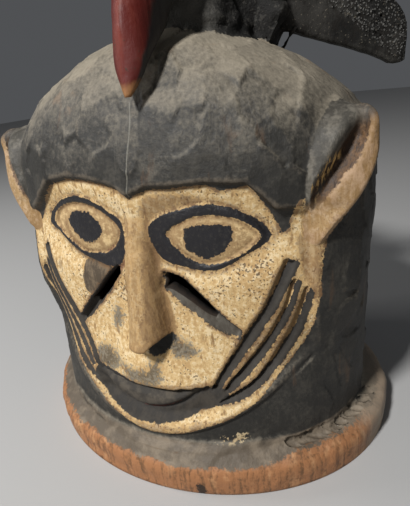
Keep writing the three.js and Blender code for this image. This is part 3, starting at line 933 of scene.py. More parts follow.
paint = {
    # lower edge of the dark cap, from the mask's right to its left
    "capEdge": [(-122, 196), (-111, 190), (-100, 199), (-87, 213.5), (-69.2, 228.2), (-48.8, 232),
                (-33.5, 231.2), (-19, 228.9), (-6.6, 225.8), (-0.5, 220.6), (0.8, 219), (5.8, 222),
                (15.8, 225.9), (31.5, 225.8), (53.7, 227.7), (60.6, 222.9), (71.9, 224.3),
                (79.4, 225.5), (84.3, 218.1), (86.9, 211.9), (90.8, 204.6), (93.3, 198.3),
                (94.3, 192.3), (99.5, 193.1), (101, 203.5), (104, 210), (108, 214), (117, 217)],
    # edge of the pale panel, from the mask's left round the chin to its right
    "panelEdge": [(121, 182.4), (119.5, 165.1), (119, 149.6), (117.6, 141), (115.4, 131),
                  (111, 118), (105.1, 107.2), (100, 100.5), (94.5, 92.5), (86.5, 81.5),
                  (78.6, 71.2), (70, 65.6), (62.5, 60.5), (52.4, 56), (40.7, 51.5), (27.5, 46.1),
                  (13.4, 42.6), (4.1, 41.8), (-10.5, 43.2), (-24.1, 47.6), (-39.7, 54), (-52, 61),
                  (-66, 69), (-80, 78), (-92, 90), (-104, 108), (-112, 130), (-118, 150),
                  (-121, 172)],
    "mouth": [(-56, 78), (-48.7, 86), (-35.6, 84.7), (-23.2, 82.5), (-9, 80), (2.7, 79),
              (16.2, 79.3), (28.3, 79.6), (46.5, 81), (53, 83), (60, 78.5), (57, 71), (50.5, 67.5),
              (44.7, 63.5), (37.1, 60), (29.9, 56.5), (20.3, 52.9), (8.8, 50.2), (-4.6, 49.2),
              (-16.5, 49.8), (-27, 52.6), (-36.3, 56.1), (-47.6, 62.4), (-56.9, 71)],
    "pupilLeft": [(36.7, 196), (38.2, 199.9), (49.3, 201.9), (64.5, 200), (66.4, 197.1),
                  (65.9, 188.4), (61.3, 182.8), (55.8, 180), (48.8, 177.4), (41.7, 182),
                  (36.6, 186.6)],
    "pupilRight": [(-61, 201), (-54.2, 206.4), (-41, 208), (-33.3, 203.6), (-29, 197.9),
                   (-31.2, 190.3), (-40.5, 185.6), (-49, 187), (-56.9, 193)],
    # smaller marks on the face: kind, outline
    "marks": [
        ("patch", [(-53, 165), (-49.4, 171), (-38.7, 172), (-24, 171), (-27.5, 162.6),
                   (-37.5, 151.3), (-46, 144), (-55, 147)]),
        # brown on the nose's right side above its tip: stain, with painted shade of the side turned
        # from the light
        ("brown", [(5.5, 128), (7.5, 141), (13, 140.5), (18, 133), (20.5, 124), (12, 122)]),
        ("grey", [(-51, 97), (-40, 104), (-30, 100), (-26, 92), (-36, 84), (-50, 84)]),
        ("grey", [(-24, 94), (-15, 91), (-4, 93), (3, 99), (9, 101), (12, 92), (5, 81), (-8, 81),
                  (-19, 83)]),
        ("grey", [(17, 121), (27, 118), (36, 112), (38, 107), (27, 104), (18, 107)]),
        ("grey", [(-30, 128), (-24, 138), (-21, 130), (-28, 121)]),
        # painted shadow under the nose
        ("dark", [(-4, 117), (1, 105), (5, 102.5), (11, 105), (18, 111), (22.5, 119), (19, 123),
                  (13, 120), (5, 117)]),
        ("nose", [(-8, 205), (12, 205), (13, 180), (19, 150), (24, 122), (22, 115), (-16, 115),
                  (-15, 124), (-9, 160), (-7, 190)]),
        # brown down the nose's right side: stain, with painted shade of the side turned from the
        # light
        ("brown", [(6, 192), (15, 190), (18, 160), (21, 122), (12, 116), (8.5, 140), (7.5, 160)]),
        ("brown", [(12, 222), (34, 222), (54, 217), (34, 214.5), (22, 211), (12, 206), (6, 208)]),
        ("brown", [(-64, 201), (-60, 190), (-50, 183), (-40, 178), (-48, 179), (-62, 187),
                   (-68, 196)]),
        ("brown", [(104, 190), (119, 186), (118, 150), (112, 152), (106, 172)]),
        ("red", [(-28, 181), (-20, 184), (-12, 178), (-12, 169), (-22, 167), (-30, 172)]),
        ("fleck", [(48.7, 37), (53.2, 43.5), (60.2, 44.4), (69.7, 45.2), (69.8, 37.5), (63.1, 34.5),
                   (54.7, 35)]),
    ],
    # cracks as x and z, on the brow, the crown and by the mask's left ear
    "cracks": [
        [(1.6, 219.5), (4.3, 232.7), (5.3, 244.8), (6.4, 256.5), (6.9, 266.1), (5.6, 279)],
        [(19.5, 306), (21.3, 298), (23, 292)],
    ],
}


def meshArrays(mesh, names):
    # places, normals, edges, each place's kind of coat, and whether two coats meet there
    loops = readAll(mesh.loops, "vertex_index", int)
    coat = np.repeat(readAll(mesh.polygons, "material_index", int),
                     readAll(mesh.polygons, "loop_total", int))
    highest = np.zeros(len(mesh.vertices), int)
    np.maximum.at(highest, loops, coat)
    lowest = np.full(len(mesh.vertices), len(names))
    np.minimum.at(lowest, loops, coat)
    points = readAll(mesh.vertices, "co", width=3) * perMetre - headShift
    normals = readAll(mesh.vertices, "normal", width=3)
    edges = readAll(mesh.edges, "vertices", int, 2)
    return points, normals, edges, np.array(names)[highest], lowest != highest


def movePoints(mesh, points):
    places = ((points + headShift) / perMetre).astype(np.float32)
    mesh.vertices.foreach_set("co", places.ravel())
    mesh.update()


def spread(values, edges, rounds):
    # average with neighbours
    values = np.asarray(values, float)
    count = np.ones(len(values))
    np.add.at(count, edges.ravel(), 1)
    if values.ndim > 1:
        count = count[:, None]
    for _ in range(rounds):
        total = values.copy()
        np.add.at(total, edges[:, 0], values[edges[:, 1]])
        np.add.at(total, edges[:, 1], values[edges[:, 0]])
        values = total / count
    return values


def sharpness(points, normals, edges):
    # positive on edges that stick out, negative in corners, in millimetres near each place
    soft = spread(points, edges, 4)
    lean = ((points - soft) * normals).sum(axis=1)
    lengths = np.linalg.norm(points[edges[:, 0]] - points[edges[:, 1]], axis=1)
    reach, count = np.zeros(len(points)), np.zeros(len(points))
    for end in edges.T:
        np.add.at(reach, end, lengths)
        np.add.at(count, end, 1)
    # points far apart would read as sharp edges
    lean = lean * np.minimum(1.5 * count / np.maximum(reach, 0.1), 1) ** 1.3
    return spread(lean, edges, 1)


def setValue(mesh, name, values):
    layer = mesh.attributes.new(name, "FLOAT", "POINT")
    layer.data.foreach_set("value", np.asarray(values, np.float32))


surfaceMarks = {
    "unevenSize": 48.0,
    "unevenDepth": 0.55,
    "adzeSize": 18.0,
    "adzeDepth": 1.1,
    "adzeSlant": 1.1,
    "knifeSize": 7.0,
    "knifeDepth": 0.25,
    "holes": [(126.5, -43, 36), (9, -116, 37)],     # small holes at the neck's foot
    "crustDepth": 1.8,
    "limits": ((-163.2, -133.9, 0), (163.2, 133.9, 391.9)),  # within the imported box
    "seed": 31,
}


def softenRoots(mesh, names):
    # round off the corners where the ears and the bird grow out of the head
    points, _, edges, coat, seam = meshArrays(mesh, names)
    x, _, z = points.T
    parts = np.isin(coat, ["ear", "bird", "beak", "face"])
    nearBird = np.abs(x - bird["middleX"]) < 62
    seam &= parts & nearBird | (coat == "ear")
    near = np.clip(spread(seam, edges, 6) * 9, 0, 1) * parts * (z > 100)
    movePoints(mesh, points + (spread(points, edges, 9) - points) * near[:, None])


def workSurface(mesh, names):
    points, normals, edges, coat = meshArrays(mesh, names)[:4]
    x, y, z = points.T
    m, seed = surfaceMarks, surfaceMarks["seed"]
    isFace, isBeak, inside = (coat == kind for kind in ("face", "beak", "inside"))
    isBird = np.isin(coat, ["bird", "dots"])
    onFront = (y < -40) & (z < capLine(x)) & (z > 36) & (np.abs(x) < 118)
    adzeArea = spread(np.where(isFace & ~onFront, 1.0, 0.0) + np.where(isBird, 0.5, 0), edges, 3)
    stretched = points * (1, 1, 0.62) + 2 * roughNoise(points, 30, 3)[:, None]
    nearest, slant, facet = toolMarks(stretched, m["adzeSize"], seed)
    height = (m["adzeDepth"] * (nearest ** 2 - 0.3) + m["adzeSlant"] * slant) * adzeArea
    setValue(mesh, "facet", facet)
    nearest, slant, facet = toolMarks(points, m["knifeSize"], seed + 9)
    height += m["knifeDepth"] * (nearest ** 2 - 0.3 + 0.6 * slant * isBird)
    uneven = m["unevenDepth"] * roughNoise(points, m["unevenSize"], seed + 20)
    height += uneven * np.where(isBeak, 0.3, 1) + 0.12 * roughNoise(points, 6, seed + 40)
    crust = isBird & (np.abs(x - bird["middleX"]) < 69) & (z < 345)
    lumps = roughNoise(points, 9, seed + 50) + softNoise(points, 5.5, seed + 51)
    height += spread(crust, edges, 2) * m["crustDepth"] * lumps
    for path in paint["cracks"]:
        height -= 0.4 * bell(pathDistance(x, z, path), 1.2) * (y < 0) * isFace
    for hole in m["holes"]:
        away = np.linalg.norm((points - hole) / (1, 1, 1.6), axis=1)
        height -= 4 * bell(away, 2.0) * isFace
    # worn outer edge of the rim
    rimDepth = 0.5 + 0.9 * np.maximum(roughNoise(points, 22, seed + 60), 0)
    rimDepth += 2.4 * np.maximum(softNoise(points * (1, 1, 0.3), 55, seed + 61), 0)
    worn = np.minimum(height * 0.7, 0.9) - rimDepth * 0.8
    height = np.where(isFace & (z < 34), worn, height) * smoothStep(z, 0.5, 5)
    height = np.where(inside, 0.3 * roughNoise(points, 16, 77) * (z >= 5), height)
    points = points + normals * height[:, None] + headShift
    points = np.clip(points, *m["limits"]) - headShift
    movePoints(mesh, points)


def dropStrays(mesh):
    # the cuts leave some corners a hair apart, faces folded flat on each other, and loose specks
    work = bmesh.new()
    work.from_mesh(mesh)
    bmesh.ops.remove_doubles(work, verts=work.verts[:], dist=2e-6)
    bmesh.ops.triangulate(work, faces=work.faces[:], quad_method="BEAUTY", ngon_method="BEAUTY")
    shells, seen = [], set()
    for face in work.faces:
        if face in seen:
            continue
        shell, waiting = [], [face]
        seen.add(face)
        while waiting:
            here = waiting.pop()
            shell.append(here)
            for edge in here.edges:
                beside = edge.link_faces if len(edge.link_faces) == 2 else ()
                for other in beside:
                    if other not in seen:
                        seen.add(other)
                        waiting.append(other)
        shells.append(shell)
    shells.sort(key=len)
    specks = [face for shell in shells[:-1] for face in shell]
    bmesh.ops.delete(work, geom=specks, context="FACES")
    faulty = sum(1 for edge in work.edges if len(edge.link_faces) != 2)
    work.to_mesh(mesh)
    work.free()
    print("strays dropped:", len(specks), "faces in", len(shells) - 1, "specks,",
          faulty, "open edges left")


def earShare(points, normals, here):
    # across an ear from root (0) to rim (1), with its hollow always from 0.5 to 0.75
    across = np.full(len(points), -1.0)
    rows = earRows()
    sections = [earSection(row) for row in rows]
    ear = np.flatnonzero(here > 0.02)
    x, y, z = points[ear].T

    def atHeight(column):
        return np.interp(z, rows[:, 0], column)

    (rootX, rootY), (rimX, rimY) = (
        [atHeight([section[k][axis] for section in sections]) for axis in (0, 1)] for k in (1, 5))
    starts, ends = atHeight(rows[:, 7]), atHeight(rows[:, 8])
    length = (rimX - rootX) ** 2 + (rimY - rootY) ** 2
    share = ((np.abs(x) - rootX) * (rimX - rootX) + (y - rootY) * (rimY - rootY)) / length
    share = np.where(share < starts, share / starts * 0.5,
                     np.where(share < ends, 0.5 + 0.25 * (share - starts) / (ends - starts),
                              0.75 + 0.25 * (share - ends) / (1 - ends)))
    facing = normals[ear, 1] - 0.25 * normals[ear, 0] * np.sign(x)
    across[ear] = np.where(facing < 0.25, np.clip(share, -1, 2), -1)
    return across


def paintSurface(mesh, names):
    points, normals, edges, coat = meshArrays(mesh, names)[:4]
    x, y, z = points.T
    p, far = paint, 9.0
    front = (y < -35) & (np.abs(x) < 123) & (z > 34) & (z < 240)
    front &= np.isin(coat, ["face", "ear", "cut"])
    fx, fz = x[front], z[front]
    values = {}

    def onFront(name, numbers, outside=-far):
        # where marks of one kind overlap, the deeper place counts
        if name not in values:
            values[name] = np.full(len(points), outside)
        values[name][front] = np.maximum(values[name][front], np.clip(numbers, -far, far))

    onFront("pale", insideShape(fx, fz, p["capEdge"] + p["panelEdge"]))
    for side in lids:
        for name, numbers in zip(("line", "ball"), lidBand(fx, fz, side)):
            onFront(name, numbers)
    for name in ("pupilLeft", "pupilRight"):
        onFront("pupil", insideShape(fx, fz, closedPath(p[name], 4)))
    cuts, slope = cutForm(fx, fz)[1:]
    onFront("cut", cuts)
    onFront("slope", slope, 0.0)
    onFront("mouth", insideShape(fx, fz, closedPath(p["mouth"])))
    for kind, outline in p["marks"]:
        onFront(kind, insideShape(fx, fz, closedPath(outline)))
    # a thin line of red left in the crease of the mouth
    crease = faceLine("lipCrease", fx)
    onFront("red", 4.2 - 1.8 * np.abs(fz - crease - 1.2) - 0.03 * np.abs(fx + 2) ** 1.5)
    # painted shade: darkest right under the upper lip and in the line below the lower lip
    onFront("paintedLipShade", bell(fz - crease, 1.8), 0.0)
    onFront("paintedLipShade", 1 - smoothStep(faceLine("lipEdge", fx) - fz, 1, 6))
    below = 0.6 * (1 - smoothStep(z - faceLine("lipCrease", x), 0, 12))
    values["paintedLipShade"] = np.maximum(values["paintedLipShade"], below)
    # where the light line along each crack goes: painted highlight on the crack's edge
    values["crackHighlight"] = np.full(len(points), far)
    for path in p["cracks"]:
        across, height = np.array(sorted(path, key=lambda place: place[1]), float).T
        beside = x - np.interp(z, height, across)
        along = (z > height[0]) & (z < height[-1]) & (y < 0) & (np.abs(beside) < far)
        values["crackHighlight"] = np.where(along, beside, values["crackHighlight"])
    rimX, rimY = x / helmet["rimHalfWidth"], (y + headShift[1]) / helmet["rimHalfDepth"]
    values["rim"] = np.hypot(rimX, rimY)
    # bare wood on the outer part of the rim's top, on the mask's left front
    around = np.degrees(np.arctan2(rimX, -rimY))
    bare = 150 * (values["rim"] - 0.99 + 0.05 * smoothStep(around, 26, 44))
    bareZone = (around > 25) & (around < 125) & (z < 36)
    values["bare"] = np.where(bareZone, np.clip(bare, -far, far), -far)
    values["rimSpot"] = np.where(y < 0, 4.5 - np.hypot((x - 41.5) * 1.3, (z - 6) * 0.7), -far)
    values["edge"] = np.clip(sharpness(points, normals, edges), -2, 2)
    values["earPart"] = spread(coat == "ear", edges, 5)
    values["ear"] = earShare(points, normals, values["earPart"])
    # beak: how far back from its ridge, from 0 to 1
    heights, ridge, rear = np.array(beakLevels, float)[:, [0, 2, 3]].T
    ridge, rear = np.interp(z, heights, ridge), np.interp(z, heights, rear)
    values["beak"] = (y - ridge) / np.maximum(rear - ridge, 1)
    for name, numbers in values.items():
        setValue(mesh, name, numbers)
    # the ears wear the same coat as the face, mixed by the numbers above
    slots = readAll(mesh.polygons, "material_index", int)
    slots[slots == names.index("ear")] = names.index("face")
    mesh.polygons.foreach_set("material_index", slots)
    mesh.polygons.foreach_set("use_smooth", np.ones(len(slots), bool))
    mesh.update()


# paints and bare wood

tones = {   # linear colours
    "wood": (0.17, 0.082, 0.034),
    "woodLight": (0.33, 0.175, 0.078),
    "woodDark": (0.04, 0.022, 0.012),
    "pale": (0.6, 0.42, 0.2),
    "paleLight": (0.74, 0.59, 0.36),
    "ochre": (0.4, 0.235, 0.09),
    "noseBrown": (0.26, 0.155, 0.065),
    "ballBrown": (0.3, 0.19, 0.09),
    "earBand": (0.4, 0.262, 0.155),
    "paleBrown": (0.16, 0.085, 0.036),
    "black": (0.02, 0.0185, 0.0155),
    "blackWorn": (0.051, 0.046, 0.037),
    "dustAndSheen": (0.275, 0.237, 0.178),
    "rimFace": (0.36, 0.16, 0.066),
    "rimFaceLight": (0.5, 0.26, 0.12),
    "rimEnd": (0.33, 0.27, 0.2),
    "rimTop": (0.115, 0.09, 0.064),
    "rimTopLight": (0.22, 0.175, 0.125),
    "cut": (0.022, 0.019, 0.016),
    "cutFloor": (0.13, 0.115, 0.092),
    "mouth": (0.034, 0.029, 0.023),
    "mouthLight": (0.088, 0.073, 0.055),
    "lipRed": (0.12, 0.03, 0.022),
    "line": (0.012, 0.011, 0.013),
    "red": (0.1, 0.012, 0.008),
    "redShade": (0.035, 0.006, 0.005),
    "redWorn": (0.17, 0.03, 0.018),
    "tip": (0.27, 0.13, 0.05),
    "flank": (0.03, 0.025, 0.024),
    "birdBlack": (0.013, 0.0125, 0.0115),
    "birdGrey": (0.044, 0.041, 0.036),
    "birdWorn": (0.085, 0.08, 0.07),
    "dotGrey": (0.2, 0.195, 0.18),
    "hollowBrownAndShade": (0.03, 0.016, 0.008),
    "bulge": (0.14, 0.125, 0.1),
    "scratch": (0.5, 0.32, 0.12),
    "patch": (0.16, 0.117, 0.073),
    "patchDark": (0.07, 0.05, 0.031),
    "crackHighlight": (0.17, 0.16, 0.13),
}


# the patterns every coat is mixed from, on the piece's own coordinates in metres:
# place, scale, detail, roughness, distortion
noises = {
    "broad": ("place", 26.0, 5.0, 0.55, 0.0),
    "blot": ("place", 95.0, 6.0, 0.62, 0.0),
    "fine": ("place", 380.0, 4.0, 0.65, 0.0),
    "pits": ("place", 640.0, 1.0, 0.5, 0.0),
    "grain": ("along", 330.0, 6.0, 0.6, 0.4),
    "streak": ("along", 120.0, 5.0, 0.6, 0.3),
}
grainStretch = (1.0, 1.0, 0.09)     # wood grain runs upwards
bumpStrength, bumpDistance = 0.55, 0.0011


class Coat:
    # A value is a number, a socket, or the name of a pattern or of numbers kept on the surface.
    # A colour is a socket or the name of a tone.
    def __init__(self, name):
        self.material = bpy.data.materials.new(name)
        self.material.use_nodes = True
        self.tree = self.material.node_tree
        self.tree.nodes.clear()
        self.shader = self.add("BsdfPrincipled")
        self.add("OutputMaterial", {0: self.shader})
        self.made = {}

    def add(self, kind, values=None, **settings):
        return addNode(self.tree, "ShaderNode" + kind, values, **settings)

    def value(self, given):
        if not isinstance(given, str):
            return given
        if given not in self.made:
            self.made[given] = self.makeValue(given)
        return self.made[given]

    def makeValue(self, name):
        if name in noises:
            place, scale, detail, roughness, distortion = noises[name]
            return self.add("TexNoise", {
                "Vector": self.value(place), "Scale": scale, "Detail": detail,
                "Roughness": roughness, "Distortion": distortion}).outputs[0]
        if name == "place":
            return self.add("TexCoord").outputs["Object"]
        if name == "along":
            return self.add("Mapping", {
                "Vector": self.value("place"), "Scale": grainStretch}).outputs[0]
        if name in ("x", "y", "z"):
            return self.add("SeparateXYZ", {0: self.value("place")}).outputs["xyz".index(name)]
        if name == "up":
            normal = self.add("NewGeometry").outputs["Normal"]
            return self.add("SeparateXYZ", {0: normal}).outputs[2]
        return self.add("Attribute", attribute_name=name).outputs["Fac"]

    def maths(self, operation, a, b=0.0, clamp=False):
        values = {0: self.value(a), 1: self.value(b)}
        return self.add("Math", values, operation=operation, use_clamp=clamp).outputs[0]

    def times(self, a, b):
        return self.maths("MULTIPLY", a, b)

    def most(self, a, b):
        return self.maths("MAXIMUM", a, b)

    def wobble(self, value, **strengths):
        # shift a value by some of the patterns, each given with its strength
        for name, strength in strengths.items():
            shift = self.times(self.maths("SUBTRACT", name, 0.5), strength)
            value = self.maths("ADD", value, shift)
        return self.value(value)

    def step(self, value, low, high, amount=1.0, **strengths):
        # 0 below low, the amount above high, soft between
        share = self.add("MapRange", {
            "Value": self.wobble(value, **strengths), "From Min": low, "From Max": high},
            interpolation_type="SMOOTHSTEP").outputs[0]
        return share if amount == 1 else self.times(share, amount)

    def mark(self, name, ragged, low, high, amount=1.0):
        return self.step(name, low, high, amount,
                         blot=ragged, fine=ragged * 1.1, grain=ragged * 0.5)

    def mix(self, share, under, over):
        under, over = ((*tones[tone], 1) if isinstance(tone, str) else tone
                       for tone in (under, over))
        return self.add("Mix", {0: self.value(share), 6: under, 7: over},
                        data_type="RGBA").outputs[2]

    def finish(self, colour, roughness, heights, shine=0.4):
        height = None
        for noise, strength in heights:
            part = self.times(noise, strength)
            height = part if height is None else self.maths("ADD", height, part)
        bump = self.add("Bump", {
            "Strength": bumpStrength, "Distance": bumpDistance, "Height": height})
        for key, value in (("Base Color", colour), ("Roughness", roughness),
                           ("Normal", bump.outputs[0])):
            self.tree.links.new(value, self.shader.inputs[key])
        self.shader.inputs["Specular IOR Level"].default_value = shine
        return self.material


def blackColour(c):
    colour = c.mix(c.step("broad", 0.35, 0.8, blot=0.8, fine=0.5), "black", "blackWorn")
    # lighter on faces turned upwards: dust, and a painted sheen of the light falling from above
    dustAndSheenShare = c.step("up", 0.2, 1.05, facet=0.17, broad=0.25, blot=0.2, fine=0.5, grain=0.35)
    colour = c.mix(dustAndSheenShare, colour, "dustAndSheen")
    colour = c.mix(c.step("edge", 0.2, 0.55, 0.4, blot=0.5, fine=0.3), colour, "rimTopLight")
    return c.mix(c.step("streak", 0.62, 0.8, 0.3, broad=0.9), colour, "wood")


def paleColour(c):
    # thick chalky paint: uneven, pitted, dirty in the pits
    colour = c.mix(c.step("broad", 0.45, 0.9, blot=0.9), "pale", "ochre")
    colour = c.mix(c.step("fine", 0.5, 0.62, 0.75, blot=0.8, grain=0.4), colour, "paleLight")
    colour = c.mix(c.step("fine", 0.47, 0.38, 0.6, blot=0.5, grain=0.5), colour, "ochre")
    colour = c.mix(c.step("grain", 0.4, 0.29, 0.7, broad=0.5), colour, "paleBrown")
    colour = c.mix(c.step("pits", 0.63, 0.71, 0.8, broad=0.45, blot=0.4), colour, "woodDark")
    colour = c.mix(c.step("edge", -0.12, -0.4, 0.6, blot=0.5, fine=0.4), colour, "paleBrown")
    return c.mix(c.step("edge", 0.3, 0.42, 0.55, blot=0.7, fine=0.7), colour, "wood")


def markedPale(c):
    # the pale paint with its marks, and brown dirt gathered beside the dark lines
    pale = paleColour(c)
    for name, mark, tone in (
            ("nose", (4.0, -1.5, 2.0, 0.7),
             c.mix(c.step("grain", 0.4, 0.7, blot=0.6), "noseBrown", "ochre")),
            ("ball", (2.0, -1.0, 0.8, 0.75),
             c.mix(c.step("blot", 0.4, 0.65, fine=0.6), "ballBrown", "pale")),
            ("brown", (9.0, -1.0, 1.2, 0.7),
             c.mix(c.step("grain", 0.4, 0.65, blot=0.5), "paleBrown", "noseBrown")),
            ("grey", (15.0, -2.5, 3.0, 0.85),
             c.mix(c.step("fine", 0.4, 0.62, blot=0.7), "blackWorn", "bulge")),
            ("patch", (3.0, -0.3, 0.4),
             c.mix(c.step("blot", 0.42, 0.62, grain=0.8), "patchDark", "patch"))):
        pale = c.mix(c.mark(name, *mark), pale, tone)
    beside = c.times(c.step("pale", 3.5, 0.3), c.step("pale", -2.0, -1.0))
    for name, low, high in (("line", -4.5, -0.3), ("cut", -3.0, -0.2), ("pupil", -2.5, -0.2)):
        beside = c.most(beside, c.step(name, low, high))
    rubbed = c.step("blot", 0.42, 0.6, 0.9, fine=0.9, grain=0.5)
    pale = c.mix(c.times(beside, rubbed), pale, "paleBrown")
    # painted shadow under the nose, in black
    pale = c.mix(c.mark("dark", 4.0, -0.6, 0.8), pale, "black")
    return c.mix(c.mark("red", 7.0, -0.5, 1.0, 0.45), pale, "lipRed")


def rimColour(c, colour):
    # worn grey top
    top = c.mix(c.step("blot", 0.4, 0.72, broad=0.8), "rimTop", "rimTopLight")
    chalky = c.step("y", -0.085, -0.03, 0.5, blot=0.02, streak=0.02)
    top = c.mix(c.times(c.step("x", 0.1, 0.13), chalky), top, "rimEnd")
    top = c.mix(c.step("edge", 0.25, 0.6, blot=0.5), top, "wood")
    topShare = c.step("rim", 0.87, 0.9, blot=0.05, broad=0.09)
    colour = c.mix(c.times(topShare, c.step("z", 0.0385, 0.0365)), colour, top)
    # bare brown face
    face = c.mix(c.step("grain", 0.3, 0.54, fine=0.5), "wood", "rimFace")
    face = c.mix(c.step("streak", 0.5, 0.75, blot=0.6), face, "rimFaceLight")
    face = c.mix(c.step("broad", 0.66, 0.84, blot=0.9), face, "woodDark")
    chalky = c.step("y", -0.06, -0.03, 0.85, blot=0.02, streak=0.02)
    face = c.mix(c.times(c.step("x", 0.11, 0.13), chalky), face, "rimEnd")
    face = c.mix(c.mark("rimSpot", 7.0, -0.3, 0.8), face, "woodDark")
    faceShare = c.step("z", 0.0248, 0.0235, blot=0.009, fine=0.003)
    return c.mix(c.most(faceShare, c.mark("bare", 7.0, -0.8, 1.2, 0.9)), colour, face)


def faceCoat():
    c = Coat("paintedFace")
    paleShare = c.mark("pale", 3.4, -0.15, 0.2)
    fleckShare = c.mark("fleck", 22.0, 3.2, 4.2, 0.7)
    colour = c.mix(c.most(paleShare, fleckShare), blackColour(c), markedPale(c))
    mouth = c.mix(c.step("blot", 0.4, 0.65, streak=0.5), "mouth", "mouthLight")
    # painted shade in the mouth, darkest under the upper lip and in the crease
    mouth = c.mix("paintedLipShade", mouth, "cut")
    mouth = c.mix(c.mark("red", 4.0, -0.8, 0.8, 0.7), mouth, "lipRed")
    colour = c.mix(c.mark("mouth", 2.2, -0.3, 0.3), colour, mouth)
    # inside the cuts: near-black painted shade on the steep side, lighter grey floor colour where
    # the sloping side shows
    slope = c.mix(c.step("blot", 0.35, 0.65, grain=0.6), "cutFloor", "mouthLight")
    colour = c.mix(c.mark("cut", 2.4, -0.15, 0.15), colour, c.mix("slope", "cut", slope))
    shiny = c.most(c.mark("line", 2.0, 0.3, 0.7), c.mark("pupil", 4.5, -0.2, 0.2))
    colour = c.mix(shiny, colour, c.mix(c.step("fine", 0.5, 0.85), "line", "blackWorn"))
    colour = rimColour(c, colour)
    colour = c.mix(c.mark("earPart", 0.25, 0.4, 0.6), colour, earColour(c))
    # a light line along each crack: painted highlight on its edge
    crackHighlight = c.step(c.maths("ABSOLUTE", "crackHighlight"), 0.6, 0.25, 0.75, fine=1.0, blot=0.8)
    colour = c.mix(crackHighlight, colour, "crackHighlight")
    roughness = c.maths("ADD", c.wobble(0.62, blot=0.35), c.times(paleShare, 0.14))
    roughness = c.maths("SUBTRACT", roughness, c.times(shiny, 0.3), True)
    return c.finish(colour, roughness,
                    (("grain", 0.6), ("fine", 0.6), ("blot", 0.6), (paleShare, 0.35)))


def earColour(c):
    across = c.wobble("ear", blot=0.12, fine=0.06)
    bulge = c.mix(c.step("streak", 0.4, 0.7, fine=0.5), "blackWorn", "bulge")
    colour = c.mix(c.step(across, -0.3, 0.1), blackColour(c), bulge)
    # the ear's hollow: brown stain, with painted shade darkest next to the bulge
    hollow = c.mix(c.step(across, 0.58, 0.85, streak=0.4, fine=0.3), "hollowBrownAndShade", "paleBrown")
    hollow = c.mix(c.step("grain", 0.5, 0.62), hollow, "woodDark")
    colour = c.mix(c.step(across, 0.47, 0.53), colour, hollow)
    band = c.mix(c.step("blot", 0.35, 0.75, grain=0.8, fine=0.4), "noseBrown", "earBand")
    band = c.mix(c.step("broad", 0.42, 0.6, 0.3), band, paleColour(c))
    curl = c.step("z", 0.25, 0.262, blot=0.008)
    colour = c.mix(c.times(curl, 0.8), colour, bulge)
    bandShare = c.times(c.step(across, 0.745, 0.77), c.maths("SUBTRACT", 1.0, curl))
    colour = c.mix(bandShare, colour, band)
    low = c.step("z", 0.214, 0.205, blot=0.012)
    colour = c.mix(c.times(low, c.step("y", -0.054, -0.059, blot=0.01)), colour, band)
    # scratches on the hollow's inner side
    scratch = c.step("grain", 0.5, 0.56)
    for value, start, end in (("z", 0.216, 0.222), ("z", 0.242, 0.236),
                              (across, 0.28, 0.36), (across, 0.62, 0.55)):
        scratch = c.times(scratch, c.step(value, start, end))
    return c.mix(scratch, colour, "scratch")


def beakCoat():
    c = Coat("redBeak")
    colour = c.mix(c.step("streak", 0.4, 0.75, blot=0.6), "red", "redWorn")
    shaded = c.step("beak", -0.08, 0.14, 0.45, blot=0.15, streak=0.15)
    colour = c.mix(shaded, colour, "redShade")
    flank = c.mix(c.step("streak", 0.4, 0.7), "flank", "birdGrey")
    colour = c.mix(c.step("beak", 0.22, 0.36, blot=0.2, streak=0.15), colour, flank)
    colour = c.mix(c.step("z", 0.291, 0.285, 0.85, blot=0.012), colour, "tip")
    colour = c.mix(c.step("edge", 0.3, 0.6, 0.5, blot=0.4), colour, "tip")
    colour = c.mix(c.step("fine", 0.7, 0.75, 0.7, blot=0.7), colour, "woodDark")
    return c.finish(colour, c.wobble(0.5, blot=0.4),
                    (("grain", 0.45), ("fine", 0.2), ("blot", 0.4)), 0.25)


def birdCoat(name, lightness):
    c = Coat(name)
    colour = c.mix(c.step("broad", 0.4, 0.8, blot=0.8), "birdBlack", "birdGrey")
    colour = c.mix(c.step("pits", 0.66, 0.76, 0.4, blot=0.4), colour, "dustAndSheen")
    colour = c.mix(c.step("edge", 0.25, 0.6, 0.6, blot=0.5), colour, "birdWorn")
    colour = c.mix(c.step("blot", 0.5, 0.38, 0.6, grain=0.7, fine=0.4), colour, "cut")
    # crusted black about the body
    aside = c.maths("ABSOLUTE", c.maths("SUBTRACT", "x", bird["middleX"] / perMetre))
    crust = c.times(c.step(aside, 0.071, 0.065), c.step("z", 0.356, 0.35))
    crusted = c.mix(c.step("fine", 0.56, 0.72, blot=0.9), "birdBlack", "birdGrey")
    crusted = c.mix(c.step(aside, 0.038, 0.02, streak=0.03, fine=0.03), crusted, "birdWorn")
    colour = c.mix(c.times(crust, 0.95), colour, crusted)
    # finer dots between the raised ones
    start, soft = stipple["start"] / perMetre, 0.002
    above = c.maths("SUBTRACT", "z", stipple["base"] / perMetre)
    dotted = c.step(c.maths("ADD", aside, c.times(above, stipple["slant"])),
                    start - soft, start + soft)
    seeds = c.add("TexVoronoi", {"Vector": c.value("place"), "Scale": 430.0})
    dot = c.times(c.step(seeds.outputs["Distance"], 0.42, 0.25), dotted)
    colour = c.mix(c.times(dot, 0.55), colour, "dotGrey")
    colour = c.mix(lightness, colour, "dotGrey")
    return c.finish(colour, c.wobble(0.72, blot=0.3), (
        ("grain", 0.5), ("fine", 0.5), ("blot", 0.6), (dot, 0.9), (crust, "pits")), 0.15)


